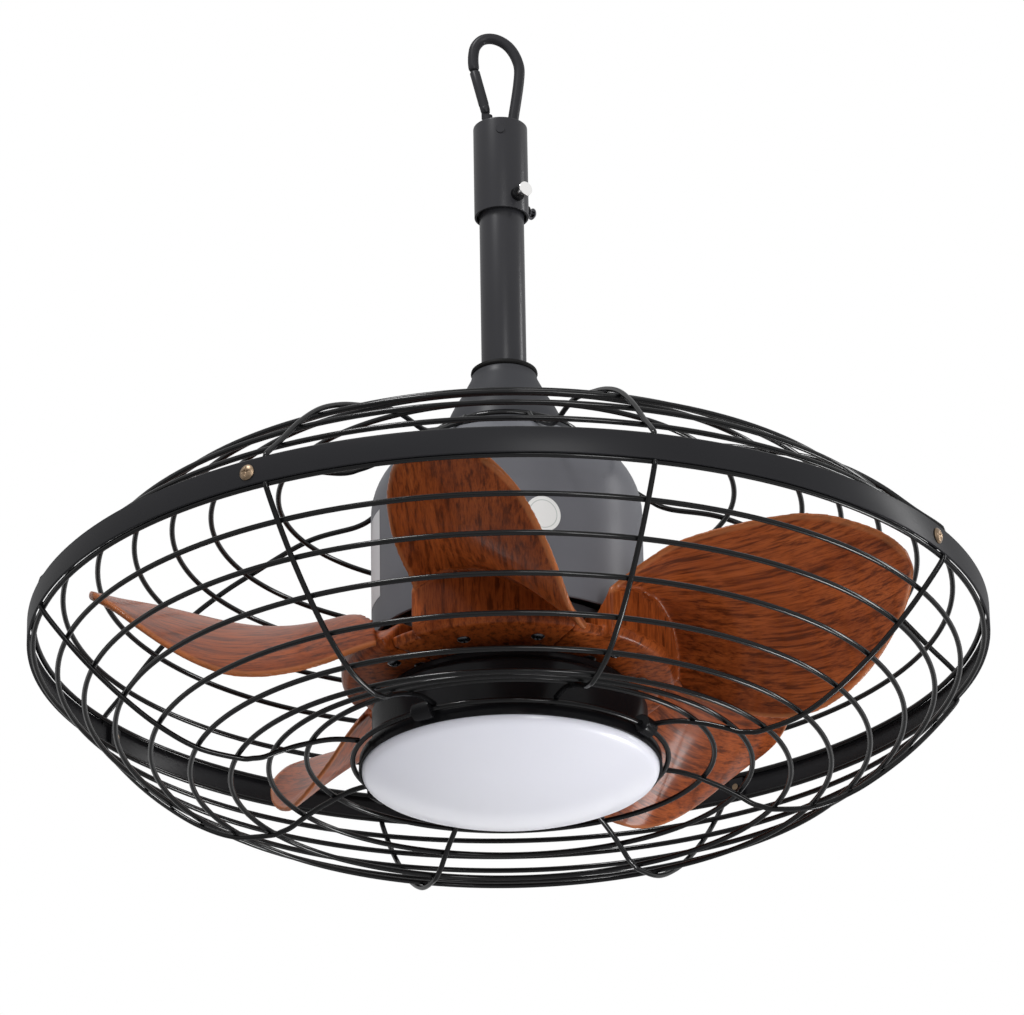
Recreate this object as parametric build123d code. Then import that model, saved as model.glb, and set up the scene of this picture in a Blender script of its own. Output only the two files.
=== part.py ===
from build123d import *
import math
import os

# Caged outdoor ceiling fan with a light, hung from a snap hook.
# Millimetres, +Z up. The work is laid out from the middle of the cage band (z = 0),
# and every piece is moved at the end so that the origin is where the hook hangs.
# Azimuths count from -Y towards +X. Large round pieces have flat sides to stay light.

# Clearances
WELD_GAP = 0.15
SEAT_GAP = 0.15
RUNNING_GAP = 0.05

# Cage band and wire
BAND_RADIUS = 265.0
BAND_HEIGHT = 14.0
BAND_WALL = 1.5
BAND_SIDES = 48
WIRE = 3.0
RIB_COUNT = 8
RIB_ANGLE = 16.9

# Ring centre lines as radius and height, from the band to the middle
LOWER_RINGS = [(247.8, -22.7), (233.1, -38.2), (216.0, -53.3), (196.6, -67.4),
               (175.0, -78.1), (152.9, -81.7), (132.1, -75.6), (111.5, -69.0)]
UPPER_RINGS = [(245.5, 20.9), (226.7, 38.8), (206.7, 54.1), (185.9, 65.2),
               (164.4, 73.7), (127.0, 86.0)]
LAMP_RING = (88.6, -70.6)
CROWN_RING = (44.0, 118.5)
WIDE_RING = 150.0
WIDE_RING_SIDES = 24
RING_SIDES = 16
CROWN_RIB = [(96.0, 87.8), (80.0, 94.0), (66.0, 104.5), (54.0, 113.5)]
LAMP_RIB = [(103.0, -65.4), (97.0, -66.2)]
RIB_END_RUN = 4.0

# Clips between the lamp ring and the lamp, and screws through the band
CLIP_COUNT = 4
CLIP_SHIFT = -6.7
CLIP_LENGTH = 9.8
CLIP_RADIUS = 5.2
BAND_SCREW_COUNT = 4
BAND_SCREW_ANGLE = -30.3
BAND_SCREW_RADIUS = 2.0
BAND_SCREW_HEAD = 4.2
TAB_WIDTH = 9.0
TAB_THICK = 2.0

# Downrod, sleeve and hook
ROD_RADIUS = 12.7
ROD_WALL = 1.5
ROD_BOTTOM = 124.0
ROD_TOP = 292.0
ROD_SIDES = 16
SLEEVE_RADIUS = 15.5
SLEEVE_BOTTOM = ROD_TOP - 30.5
SLEEVE_TOP = ROD_TOP + 27.0
SCREW_HEIGHT = SLEEVE_BOTTOM + 8.5
BOLT_ANGLE = 35.0
LOCK_SCREW_ANGLE = 125.0
SLEEVE_SCREW_RADIUS = 2.0
SLEEVE_SCREW_HEAD = 3.7
SLEEVE_SCREW_STAND = 5.5
HOOK_WIRE = 6.2
HOOK_SIDES = 8
HOOK_PIN_RADIUS = 2.5
HOOK_PIN_HEIGHT = SLEEVE_TOP - 8.0
HOOK_PIN_GAP = 0.3

# Hook centre line as distance from the rod's axis and height above the pin
HOOK_NOSE = (-14.5, 46.4)
HOOK_CROWN = [(-14.7, 56.5), (-13.6, 61.4), (-10.3, 65.6), (-5.7, 67.0), (-0.5, 65.7), (4.5, 62.3),
              (8.1, 57.5), (10.6, 51.5), (11.6, 45.5), (10.9, 36.4), (9.3, 25.1), (7.6, 14.0)]
HOOK_STUB = [(-6.6, 8.0), (-7.4, 16.2)]
GATE_HINGE = (-8.4, 20.4)
GATE_PIN_RADIUS = 1.0
GATE_RADIUS = 3.0
GATE_SLOT = 3.6
TONGUE_THICK = 2.4
TONGUE_RADIUS = 2.5

# Bell cover and its rubber collar
COLLAR_RADIUS = 18.9
COLLAR_HEIGHT = 2.8
BELL_TOP_RADIUS = 18.2
BELL_TOP = 161.7
BELL_MOUTH_RADIUS = 35.0
BELL_MOUTH = 125.0
BELL_WALL = 1.2

# Motor
COVER_RADIUS = 75.6
COVER_SHOULDER = 40.0
COVER_TOP = 114.0
COVER_MOUTH = -3.0
COVER_WALL = 1.6
COVER_SIDES = 24
SHAFT_RADIUS = 8.5
SHAFT_BORE = 5.0
SHAFT_BOTTOM = -42.0
BEARING_RADIUS = 17.5
BEARING_WIDTH = 9.0
BEARING_LOWER = 8.0
BEARING_UPPER = 70.0
ROTOR_RADIUS = 64.0
ROTOR_WALL = 3.0
ROTOR_SIDES = 16
MAGNET_COUNT = ROTOR_SIDES
MAGNET_WALL = 4.0
AIR_GAP = 0.8
STATOR_TEETH = 12
STATOR_HEIGHT = 26.0
STATOR_MIDDLE = 42.0
STATOR_CORE = 28.0
HUB_RADIUS = 70.0
HUB_THICK = 6.0
HUB_SIDES = 16
YOKE_WALL = 4.0
YOKE_PIN_RADIUS = 3.0
YOKE_PIN_HEIGHT = 136.0

# Blades: both edges at stations along the blade, as (radius, across, height, across, height)
BLADE_COUNT = 5
BLADE_ANGLE = -3.4
BLADE_EDGES = [(76.0, -46.3, -0.8, 46.0, -26.0), (86.0, -48.4, 4.2, 47.2, -29.5),
               (100.0, -52.3, 9.7, 47.9, -35.8), (115.0, -54.8, 15.2, 48.2, -43.3),
               (132.0, -55.6, 18.5, 48.0, -49.5), (150.0, -54.9, 20.7, 46.3, -52.9),
               (168.0, -52.5, 22.7, 42.8, -51.6), (185.0, -49.0, 23.8, 39.4, -44.8),
               (200.0, -43.6, 22.8, 34.6, -34.6), (212.0, -36.0, 20.3, 28.8, -23.6),
               (223.0, -26.0, 17.0, 20.8, -11.2), (232.0, -12.5, 11.5, 8.5, 1.0)]
BLADE_THICK = 6.0
BLADE_CAMBER = 0.05
ROOT_INNER = 44.0
ROOT_OUTER = 93.0
ROOT_SPAN = (-33.0, 31.0)
ROOT_TOP = 1.5
ROOT_BOTTOM = -27.0
BLADE_SCREW_CIRCLE = 57.5
BLADE_SCREW_SPREAD = 20.0
BLADE_SCREW_RADIUS = 2.5
BLADE_SCREW_HEAD = 4.4
BLADE_SCREW_HEAD_HEIGHT = 2.2

# Lamp
LAMP_PLATE_RADIUS = 68.5
LAMP_PLATE_TOP = -33.0
LAMP_RADIUS = 76.0
LAMP_STEP = -42.0
LAMP_RIM_RADIUS = 85.2
LAMP_RIM_TOP = -69.0
LAMP_RIM_BOTTOM = -77.0
LAMP_WALL = 1.5
LAMP_SIDES = 24
LAMP_NUT_RADIUS = 13.0
LAMP_NUT_HEIGHT = 5.0
LED_BOARD_RADIUS = 62.0
LED_BOARD_THICK = 1.6
LENS_SAG = 22.5
LENS_WALL = 2.0

WIRE_HALF = WIRE * math.sqrt(math.pi) / 4
HUB_TOP = COVER_MOUTH - 0.6
HUB_BOTTOM = HUB_TOP - HUB_THICK


def at_angle(angle, shape):
    """Turn a shape drawn along +X to an azimuth."""
    return Rot(0, 0, angle - 90) * shape


def around(count, first, shape):
    return [at_angle(first + 360 * i / count, shape) for i in range(count)]


def flat_face(points):
    return Face(Wire.make_polygon(points))


def skin(sections, loop=False, twisted=False):
    """Solid between polygons of as many corners, in a row or in a loop."""
    count = len(sections)
    faces = []
    for i in range(count if loop else count - 1):
        low, high = sections[i], sections[(i + 1) % count]
        for k in range(len(low)):
            j = (k + 1) % len(low)
            if twisted:
                faces += [flat_face([low[k], low[j], high[j]]), flat_face([low[k], high[j], high[k]])]
            else:
                faces.append(flat_face([low[k], low[j], high[j], high[k]]))
    if not loop:
        faces += [flat_face(sections[0][::-1]), flat_face(sections[-1])]
    return Solid(Shell(faces))


def mean_reach(sides):
    """Corner radius of a polygon over the radius of the circle of the same area, nearly."""
    return 1 / math.sqrt(math.cos(math.pi / sides))


def lathe(outline, sides):
    """Flat-sided turning about Z of a closed outline of (radius, height) points."""
    reach = mean_reach(sides)
    sections = []
    for i in range(sides):
        turn = math.radians(RIB_ANGLE - 90 + 360 * (i + 0.5) / sides)
        x, y = reach * math.cos(turn), reach * math.sin(turn)
        sections.append([(r * x, r * y, z) for r, z in outline])
    return skin(sections, loop=True)


def tube(inner, outer, low, high, sides):
    return lathe([(inner, low), (outer, low), (outer, high), (inner, high)], sides)


def rod_along_x(radius, length, sides=8):
    """Bar of few sides along X, centred."""
    return Rot(0, 90, 0) * Pos(0, 0, -length / 2) * extrude(RegularPolygon(radius, sides), length)


def wire_run(points, thickness, sides, square=False):
    """Bent wire along a path in the XZ plane, mitred at its points."""
    path = [Vector(x, 0, z) for x, z in points]
    legs = [(b - a).normalized() for a, b in zip(path, path[1:])]
    half = WIRE_HALF * math.sqrt(2) if square else thickness / 2
    sections = []
    for i, point in enumerate(path):
        before, after = legs[max(i - 1, 0)], legs[min(i, len(legs) - 1)]
        along = (before + after).normalized()
        side = Vector(along.Z, 0, -along.X)
        stretch = 1 / along.dot(after)
        section = []
        for k in range(sides):
            turn = 2 * math.pi * (k + 0.5) / sides
            offset = side * (half * math.cos(turn) * stretch) + Vector(0, half * math.sin(turn), 0)
            section.append(point + offset)
        sections.append(section)
    return skin(sections)


def ring_sides(radius):
    return WIDE_RING_SIDES if radius > WIDE_RING else RING_SIDES


def ring_slope(chain, i):
    """Unit normal, away from the cage's inside, of the rib's path at one ring."""
    d0 = Vector(chain[i][0] - chain[i - 1][0], chain[i][1] - chain[i - 1][1]).normalized()
    d1 = Vector(chain[i + 1][0] - chain[i][0], chain[i + 1][1] - chain[i][1]).normalized()
    along = (d0 + d1).normalized()
    bend = math.acos(min(1.0, along.dot(d1)))
    return (along.Y, -along.X), bend


def wire_ring(radius, height, normal=(0.0, 1.0)):
    """Closed ring of square wire about Z, with one side square to the given normal."""
    nr, nz = normal
    outline = [(radius + WIRE_HALF * (a * nr - b * nz), height + WIRE_HALF * (a * nz + b * nr))
               for a, b in ((-1, -1), (1, -1), (1, 1), (-1, 1))]
    return lathe(outline, ring_sides(radius))


def edge_ring(side):
    inner = (BAND_RADIUS - BAND_WALL) / mean_reach(BAND_SIDES)
    return inner / mean_reach(WIDE_RING_SIDES) - WELD_GAP - WIRE_HALF, side * BAND_HEIGHT / 2


def cage_rings(side, rings, last):
    """Ring nodes of one half of the cage, each turned to lie flat against the ribs."""
    chain = [edge_ring(side)] + rings + [last]
    result = []
    for i in range(len(chain) - 1):
        normal = ring_slope(chain, i)[0] if i > 0 else (0.0, 1.0)
        result.append(wire_ring(chain[i][0], chain[i][1], normal))
    return result


def rib_points(side, rings, bends, last):
    """Path of a rib that lies against the outside of its rings."""
    chain = [(r / mean_reach(ring_sides(r)), z) for r, z in [edge_ring(side)] + rings] + bends
    points = []
    for i in range(len(rings) + 2):
        if i == 0:
            d = Vector(chain[1][0] - chain[0][0], chain[1][1] - chain[0][1]).normalized()
            normal = (d.Y, -d.X)
            # the edge ring lies square to the band, so its corner faces the rib
            step = WIRE_HALF * (1 + abs(d.X) + abs(d.Y)) + WELD_GAP
        else:
            normal, bend = ring_slope(chain, i)
            step = WIRE_HALF + math.cos(bend) * (WIRE_HALF + WELD_GAP) + WIRE_HALF * math.sin(bend)
        away = step if side * normal[1] > 0 else -step
        points.append((chain[i][0] + away * normal[0], chain[i][1] + away * normal[1]))
    return points + bends[1:] + last


def rib_end(ring):
    """Flat end run of a rib, over its innermost ring."""
    r, z = ring
    level = z + 2 * WIRE_HALF + WELD_GAP
    return [(r + RIB_END_RUN, level), (r - 1.2, level)]


def upper_ribs():
    path = rib_points(1, UPPER_RINGS, CROWN_RIB, rib_end(CROWN_RING))
    return around(RIB_COUNT, RIB_ANGLE, wire_run(path, WIRE, 4, square=True))


def lower_ribs():
    path = rib_points(-1, LOWER_RINGS, LAMP_RIB, rib_end(LAMP_RING))
    return around(RIB_COUNT, RIB_ANGLE, wire_run(path, WIRE, 4, square=True))


def band_screw_holes(radius):
    return around(BAND_SCREW_COUNT, BAND_SCREW_ANGLE, Pos(BAND_RADIUS, 0, 0) * rod_along_x(radius, 12, 6))


def cage_band():
    band = tube(BAND_RADIUS - BAND_WALL, BAND_RADIUS, -BAND_HEIGHT / 2, BAND_HEIGHT / 2, BAND_SIDES)
    for hole in band_screw_holes(BAND_SCREW_RADIUS + SEAT_GAP):
        band = band - hole
    return [band]


def band_screws():
    # the band's flat sides lie inside or outside its mean radius by this much
    stand = BAND_RADIUS * (mean_reach(BAND_SIDES) - 1) + SEAT_GAP
    head = Pos(BAND_RADIUS + stand + 0.9, 0, 0) * rod_along_x(BAND_SCREW_HEAD, 1.8, 6)
    stem = Pos(BAND_RADIUS + stand - 3.5, 0, 0) * rod_along_x(BAND_SCREW_RADIUS, 7.2, 6)
    return around(BAND_SCREW_COUNT, BAND_SCREW_ANGLE, head + stem)


def band_tabs():
    """Tapped tabs inside the band that the screws pull the two halves of the cage onto."""
    outer = (BAND_RADIUS - BAND_WALL) / mean_reach(BAND_SIDES) - SEAT_GAP
    height = BAND_HEIGHT - 2 * WIRE_HALF - 2 * WELD_GAP
    tab = Pos(outer - TAB_THICK / 2, 0, 0) * Box(TAB_THICK, TAB_WIDTH, height)
    return around(BAND_SCREW_COUNT, BAND_SCREW_ANGLE,
                  tab - Pos(outer, 0, 0) * rod_along_x(BAND_SCREW_RADIUS + SEAT_GAP, 12, 6))


def sleeve_screw_bore(angle):
    reach = Pos(SLEEVE_RADIUS, 0, SCREW_HEIGHT)
    return at_angle(angle, reach * rod_along_x(SLEEVE_SCREW_RADIUS + SEAT_GAP, 16, 6))


def yoke_pin_bore():
    return Pos(0, 0, YOKE_PIN_HEIGHT) * rod_along_x(YOKE_PIN_RADIUS + SEAT_GAP, 80)


def downrod():
    rod = tube(ROD_RADIUS - ROD_WALL, ROD_RADIUS, ROD_BOTTOM, ROD_TOP, ROD_SIDES)
    return [rod - sleeve_screw_bore(BOLT_ANGLE) - sleeve_screw_bore(LOCK_SCREW_ANGLE) - yoke_pin_bore()]


def hanger_sleeve():
    sleeve = tube(ROD_RADIUS + SEAT_GAP, SLEEVE_RADIUS, SLEEVE_BOTTOM, SLEEVE_TOP, ROD_SIDES)
    pin_hole = Pos(0, 0, HOOK_PIN_HEIGHT) * Rot(0, 0, 90) * rod_along_x(HOOK_PIN_RADIUS + 2 * SEAT_GAP, 60)
    return [sleeve - sleeve_screw_bore(BOLT_ANGLE) - sleeve_screw_bore(LOCK_SCREW_ANGLE) - pin_hole]


def sleeve_screw(angle):
    """Screw through the sleeve's wall into the downrod's, its head standing off the sleeve."""
    tip = ROD_RADIUS - ROD_WALL - 0.8
    head = SLEEVE_RADIUS + SLEEVE_SCREW_STAND
    stem = Pos((tip + head) / 2, 0, 0) * rod_along_x(SLEEVE_SCREW_RADIUS, head - tip, 6)
    cap = Pos(head + 1.3, 0, 0) * rod_along_x(SLEEVE_SCREW_HEAD, 2.6, 6)
    return [at_angle(angle, Pos(0, 0, SCREW_HEIGHT) * (stem + cap))]


def hook_pin():
    return [Pos(0, 0, HOOK_PIN_HEIGHT) * Rot(90, 0, 0) * Cylinder(HOOK_PIN_RADIUS, 2 * SLEEVE_RADIUS + 1)]


def collar():
    low = BELL_TOP + SEAT_GAP
    return [tube(ROD_RADIUS + SEAT_GAP, COLLAR_RADIUS, low, low + COLLAR_HEIGHT, ROD_SIDES)]


def bell_cover():
    """Thin bell over the coupling, wider towards its open mouth."""
    side = [(BELL_TOP_RADIUS, BELL_TOP), (21.0, 153.5), (29.0, 139.0), (BELL_MOUTH_RADIUS, BELL_MOUTH)]
    inside = [(r - BELL_WALL, z) for r, z in side[:0:-1]]
    lid = BELL_TOP - BELL_WALL
    hole = ROD_RADIUS + SEAT_GAP
    return [lathe(side + inside + [(BELL_TOP_RADIUS - BELL_WALL, lid), (hole, lid), (hole, BELL_TOP)], ROD_SIDES)]


def shoulder(reach, points):
    """Quarter round of the motor cover from its side to its flat top."""
    start = COVER_RADIUS - COVER_SHOULDER
    steps = [math.radians(90 * i / (points - 1)) for i in range(points)]
    return [(start + reach * math.cos(a), COVER_TOP - COVER_SHOULDER + reach * math.sin(a)) for a in steps]


def motor_cover():
    """Domed cover, open below where the blade hub turns."""
    outer = [(COVER_RADIUS, COVER_MOUTH)] + shoulder(COVER_SHOULDER, 6)
    inner = [(COVER_RADIUS - COVER_WALL, COVER_MOUTH)] + shoulder(COVER_SHOULDER - COVER_WALL, 4)
    hole = SHAFT_RADIUS * mean_reach(COVER_SIDES) + SEAT_GAP
    return [lathe(outer + [(hole, COVER_TOP), (hole, COVER_TOP - COVER_WALL)] + inner[::-1], COVER_SIDES)]


def yoke():
    """Socket on the shaft's end that the downrod pins into."""
    outer = ROD_RADIUS + SEAT_GAP + YOKE_WALL
    inner = ROD_RADIUS + SEAT_GAP
    shaft = SHAFT_RADIUS * mean_reach(ROD_SIDES) + SEAT_GAP
    low = COVER_TOP + SEAT_GAP
    floor = ROD_BOTTOM - SEAT_GAP
    shape = [(shaft, low), (28.0, low), (28.0, low + 4.0), (outer, low + 4.0),
             (outer, YOKE_PIN_HEIGHT + 10), (inner, YOKE_PIN_HEIGHT + 10), (inner, floor), (shaft, floor)]
    return [lathe(shape, ROD_SIDES) - yoke_pin_bore()]


def yoke_pin():
    return [Pos(0, 0, YOKE_PIN_HEIGHT) * rod_along_x(YOKE_PIN_RADIUS, 2 * (ROD_RADIUS + YOKE_WALL) + 4)]


def shaft():
    """Hollow shaft of the motor, which the wires of the lamp run through."""
    high = ROD_BOTTOM - 1
    bar = Pos(0, 0, (SHAFT_BOTTOM + high) / 2) * Cylinder(SHAFT_RADIUS, high - SHAFT_BOTTOM)
    return [bar - screw_bar(SHAFT_BORE, SHAFT_BOTTOM - 1, high + 1, 8)]


def bearings():
    """Plain rings whose flat inner sides run on the round shaft."""
    bore = (SHAFT_RADIUS + RUNNING_GAP) * mean_reach(ROTOR_SIDES)
    pair = []
    for low in (BEARING_LOWER, BEARING_UPPER):
        pair.append(tube(bore, BEARING_RADIUS, low, low + BEARING_WIDTH, ROTOR_SIDES))
    return pair


def rotor_shell():
    """Spinning drum of the motor, carried on the bearings."""
    bore = BEARING_RADIUS + SEAT_GAP
    boss = BEARING_RADIUS + 5.0
    low = BEARING_LOWER
    high = BEARING_UPPER + BEARING_WIDTH
    wall = ROTOR_WALL
    drum = lathe([(bore, low), (ROTOR_RADIUS, low), (ROTOR_RADIUS, high), (bore, high),
                  (bore, high - BEARING_WIDTH), (boss, high - BEARING_WIDTH), (ROTOR_RADIUS - wall, high - wall - 3),
                  (ROTOR_RADIUS - wall, low + wall + 3), (boss, low + BEARING_WIDTH), (bore, low + BEARING_WIDTH)],
                 ROTOR_SIDES)
    return [drum]


def magnets():
    """Flat magnets against the flat insides of the drum."""
    flat = (ROTOR_RADIUS - ROTOR_WALL) / mean_reach(ROTOR_SIDES) - SEAT_GAP
    width = 2 * (flat - MAGNET_WALL) * math.tan(math.pi / ROTOR_SIDES) - 1.0
    block = Pos(flat - MAGNET_WALL / 2, 0, STATOR_MIDDLE) * Box(MAGNET_WALL, width, STATOR_HEIGHT + 2)
    return around(MAGNET_COUNT, RIB_ANGLE, block)


def stator_core():
    """Toothed core pressed on the shaft."""
    tip = (ROTOR_RADIUS - ROTOR_WALL) / mean_reach(ROTOR_SIDES) - SEAT_GAP - MAGNET_WALL - AIR_GAP
    tip = tip * math.cos(math.pi / ROTOR_SIDES)
    corners = []
    for i in range(STATOR_TEETH):
        for radius, across in ((STATOR_CORE, -3.0), (tip, -3.0), (tip, 3.0), (STATOR_CORE, 3.0)):
            turn = 2 * math.pi * i / STATOR_TEETH
            corners.append((radius * math.cos(turn) - across * math.sin(turn),
                            radius * math.sin(turn) + across * math.cos(turn)))
    low = STATOR_MIDDLE - STATOR_HEIGHT / 2
    core = Pos(0, 0, low) * extrude(make_face(Polyline(*corners, close=True)), STATOR_HEIGHT)
    bore = Pos(0, 0, STATOR_MIDDLE) * extrude(RegularPolygon(SHAFT_RADIUS * 1.05 + SEAT_GAP, 16), 40, both=True)
    return [core - bore]


def stator_coils():
    """Windings, one round each tooth."""
    middle = Pos((STATOR_CORE + 56.0) / 2 - 1, 0, STATOR_MIDDLE)
    outer = middle * Box(18.0, 9.2, STATOR_HEIGHT + 8)
    inner = middle * Box(20.0, 6.0 + 2 * SEAT_GAP, STATOR_HEIGHT + 2 * SEAT_GAP)
    return around(STATOR_TEETH, 90, outer - inner)


def blade_screw_spots(i):
    angle = BLADE_ANGLE + 360 * i / BLADE_COUNT
    return [Rot(0, 0, angle + side * BLADE_SCREW_SPREAD - 90) * Pos(BLADE_SCREW_CIRCLE, 0, 0) for side in (-1, 1)]


def screw_bar(radius, low, high, sides=6):
    return Pos(0, 0, low) * extrude(RegularPolygon(radius, sides), high - low)


def blade_hub():
    """Disc under the drum that carries the blades."""
    boss = SHAFT_RADIUS + 4.0
    clear = SHAFT_RADIUS + 1.5
    top = BEARING_LOWER - SEAT_GAP
    disc = lathe([(clear, HUB_BOTTOM), (HUB_RADIUS, HUB_BOTTOM), (HUB_RADIUS, HUB_TOP),
                  (BEARING_RADIUS + 14, HUB_TOP), (BEARING_RADIUS + 10, top), (clear, top)], HUB_SIDES)
    for i in range(BLADE_COUNT):
        for spot in blade_screw_spots(i):
            disc = disc - spot * screw_bar(BLADE_SCREW_RADIUS + SEAT_GAP, HUB_BOTTOM - 1, HUB_TOP + 1)
    return [disc]


def blade_section(s, lead, lead_height, trail, trail_height):
    """Thin cambered section between two edges, as a ring of corners square to the blade's length."""
    edges = [(0.5, 0.0), (0.42, 0.4), (0.15, 0.5), (-0.15, 0.5), (-0.42, 0.4)]
    across, drop = trail - lead, lead_height - trail_height
    chord = math.hypot(across, drop)
    cos, sin = across / chord, drop / chord
    thick = min(BLADE_THICK, chord * 0.3)
    corners = []
    for x, y in edges + [(-x, -y) for x, y in edges]:
        up = y * thick + BLADE_CAMBER * chord * (1 - 4 * x * x)
        corners.append((s, (lead + trail) / 2 + x * across + up * sin,
                        (lead_height + trail_height) / 2 - x * drop + up * cos))
    return corners


def root_block():
    """Curved block under the hub that the blade grows out of, sloped like the blade above."""
    first, last = ROOT_SPAN
    turns = [math.radians(first + (last - first) * i / 5) for i in range(6)]
    plan = [(ROOT_OUTER * math.cos(a), ROOT_OUTER * math.sin(a)) for a in turns]
    plan += [(ROOT_INNER * math.cos(a), ROOT_INNER * math.sin(a)) for a in (turns[-1], 0.0, turns[0])]
    block = Pos(0, 0, ROOT_BOTTOM) * extrude(make_face(Polyline(*plan, close=True)), ROOT_TOP - ROOT_BOTTOM)
    lead, lead_height, trail, trail_height = BLADE_EDGES[1][1:]
    slope = math.degrees(math.atan2(trail_height - lead_height, trail - lead))
    middle = (lead_height + trail_height) / 2 + 0.4 * BLADE_THICK
    above = Pos(0, (lead + trail) / 2, middle) * Rot(slope, 0, 0) * Pos(0, 0, 50) * Box(400, 400, 100)
    return block - above


def blades():
    """Blades cut to seat under the hub and drilled for their screws."""
    seat = tube(5.0, COVER_RADIUS + 2.4, HUB_BOTTOM - SEAT_GAP, HUB_BOTTOM + 60, ROD_SIDES)
    whole = skin([blade_section(*edges) for edges in BLADE_EDGES], twisted=True) + root_block()
    result = []
    for i in range(BLADE_COUNT):
        one = at_angle(BLADE_ANGLE + 360 * i / BLADE_COUNT, whole) - seat
        for spot in blade_screw_spots(i):
            one = one - spot * screw_bar(BLADE_SCREW_RADIUS + SEAT_GAP, ROOT_BOTTOM - 30, 0)
        result.append(one)
    return result


def blade_screws():
    low = ROOT_BOTTOM - SEAT_GAP
    screws = []
    for i in range(BLADE_COUNT):
        head = screw_bar(BLADE_SCREW_HEAD, low - BLADE_SCREW_HEAD_HEIGHT, low)
        screw = screw_bar(BLADE_SCREW_RADIUS, low, HUB_TOP - 0.5) + head
        screws += [spot * screw for spot in blade_screw_spots(i)]
    return screws


def lamp_housing():
    """Stepped pan of the lamp with a flanged rim, open below."""
    wall = LAMP_WALL
    hole = SHAFT_RADIUS * mean_reach(LAMP_SIDES) + SEAT_GAP
    top = LAMP_PLATE_TOP
    outer = [(hole, top), (LAMP_PLATE_RADIUS, top), (LAMP_RADIUS, LAMP_STEP), (LAMP_RADIUS, LAMP_RIM_TOP),
             (LAMP_RIM_RADIUS, LAMP_RIM_TOP), (LAMP_RIM_RADIUS, LAMP_RIM_BOTTOM)]
    inner = [(LAMP_RIM_RADIUS - wall, LAMP_RIM_BOTTOM), (LAMP_RIM_RADIUS - wall, LAMP_RIM_TOP - wall),
             (LAMP_RADIUS - wall, LAMP_RIM_TOP - wall), (LAMP_RADIUS - wall, LAMP_STEP),
             (LAMP_PLATE_RADIUS - wall, top - wall), (hole, top - wall)]
    return [lathe(outer + inner, LAMP_SIDES)]


def lens():
    """Opal dome inside the lamp's rim."""
    radius = LAMP_RIM_RADIUS - LAMP_WALL - SEAT_GAP
    rim = LAMP_RIM_BOTTOM
    inside = radius - LENS_WALL
    steps = [math.radians(a) for a in (0, 20, 40, 58, 74)]
    outer = [(radius * math.cos(a), rim - LENS_SAG * math.sin(a)) for a in steps]
    inner = [(inside * math.cos(a), rim - (LENS_SAG - LENS_WALL) * math.sin(a)) for a in steps[::2]]
    lip = LAMP_RIM_TOP - LAMP_WALL - SEAT_GAP
    bowl = lathe([(radius, lip)] + outer + inner[::-1] + [(inside, lip)], LAMP_SIDES)
    return [bowl + lens_middle(outer[-1], inner[-1])]


def lens_middle(outer, inner):
    """Shallow polygon cap that closes the dome's middle."""
    low = LAMP_RIM_BOTTOM - LENS_SAG
    reach = mean_reach(LAMP_SIDES)
    turns = [math.radians(RIB_ANGLE - 90 + 360 * (i + 0.5) / LAMP_SIDES) for i in range(LAMP_SIDES)]
    rings = []
    for radius, height in ((outer[0] * 0.4, low), outer, inner, (outer[0] * 0.4, low + LENS_WALL)):
        rings.append([(radius * reach * math.cos(a), radius * reach * math.sin(a), height) for a in turns])
    return skin(rings)


def led_board():
    top = LAMP_PLATE_TOP - LAMP_WALL - SEAT_GAP
    return [tube(LAMP_NUT_RADIUS + 2, LED_BOARD_RADIUS, top - LED_BOARD_THICK, top, ROD_SIDES)]


def lamp_nut():
    """Hexagon nut under the pan that holds the lamp on the hollow shaft."""
    top = LAMP_PLATE_TOP - LAMP_WALL - SEAT_GAP
    nut = Pos(0, 0, top - LAMP_NUT_HEIGHT) * extrude(RegularPolygon(LAMP_NUT_RADIUS, 6), LAMP_NUT_HEIGHT)
    hole = Pos(0, 0, top) * extrude(RegularPolygon(SHAFT_RADIUS * 1.03 + SEAT_GAP, 16), 20, both=True)
    return [nut - hole]


def crown_plate():
    """Plate on the motor cover that the upper cage stands on."""
    low = COVER_TOP + SEAT_GAP
    return [tube(28.0 + 2 * SEAT_GAP, CROWN_RING[0] + 2, low, CROWN_RING[1] - WIRE_HALF - WELD_GAP, ROD_SIDES)]


def ring_clips():
    """Barrel clips beside ribs, round a flat side of the lamp ring and against the lamp's rim."""
    r, z = LAMP_RING
    bore = 2 * WIRE_HALF + 4 * SEAT_GAP
    rim = LAMP_RIM_RADIUS / mean_reach(LAMP_SIDES) + SEAT_GAP
    place = Pos(r / mean_reach(RING_SIDES), CLIP_SHIFT, z)
    barrel = place * (Rot(0, 0, 90) * rod_along_x(CLIP_RADIUS, CLIP_LENGTH) - Box(bore, CLIP_LENGTH + 2, bore))
    return around(CLIP_COUNT, RIB_ANGLE - 45, barrel - Pos(rim - 10, 0, z) * Box(20, 40, 30))


def gate_hinge():
    x, z = GATE_HINGE
    return Pos(x, 0, HOOK_PIN_HEIGHT + z)


def gate_pin_bore():
    return gate_hinge() * Rot(90, 0, 0) * screw_bar(GATE_PIN_RADIUS + SEAT_GAP, -10, 10, 8)


def hook_path():
    """Hook's centre line from its nose over the crown and round the pin to the gate's tongue."""
    bend = HOOK_PIN_RADIUS + HOOK_PIN_GAP + HOOK_WIRE / 2
    turns = [math.radians(-30 * i) for i in range(7)]
    base = [(bend * math.cos(a), bend * math.sin(a)) for a in turns]
    return [(x, HOOK_PIN_HEIGHT + z) for x, z in [HOOK_NOSE] + HOOK_CROWN + base + HOOK_STUB]


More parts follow.
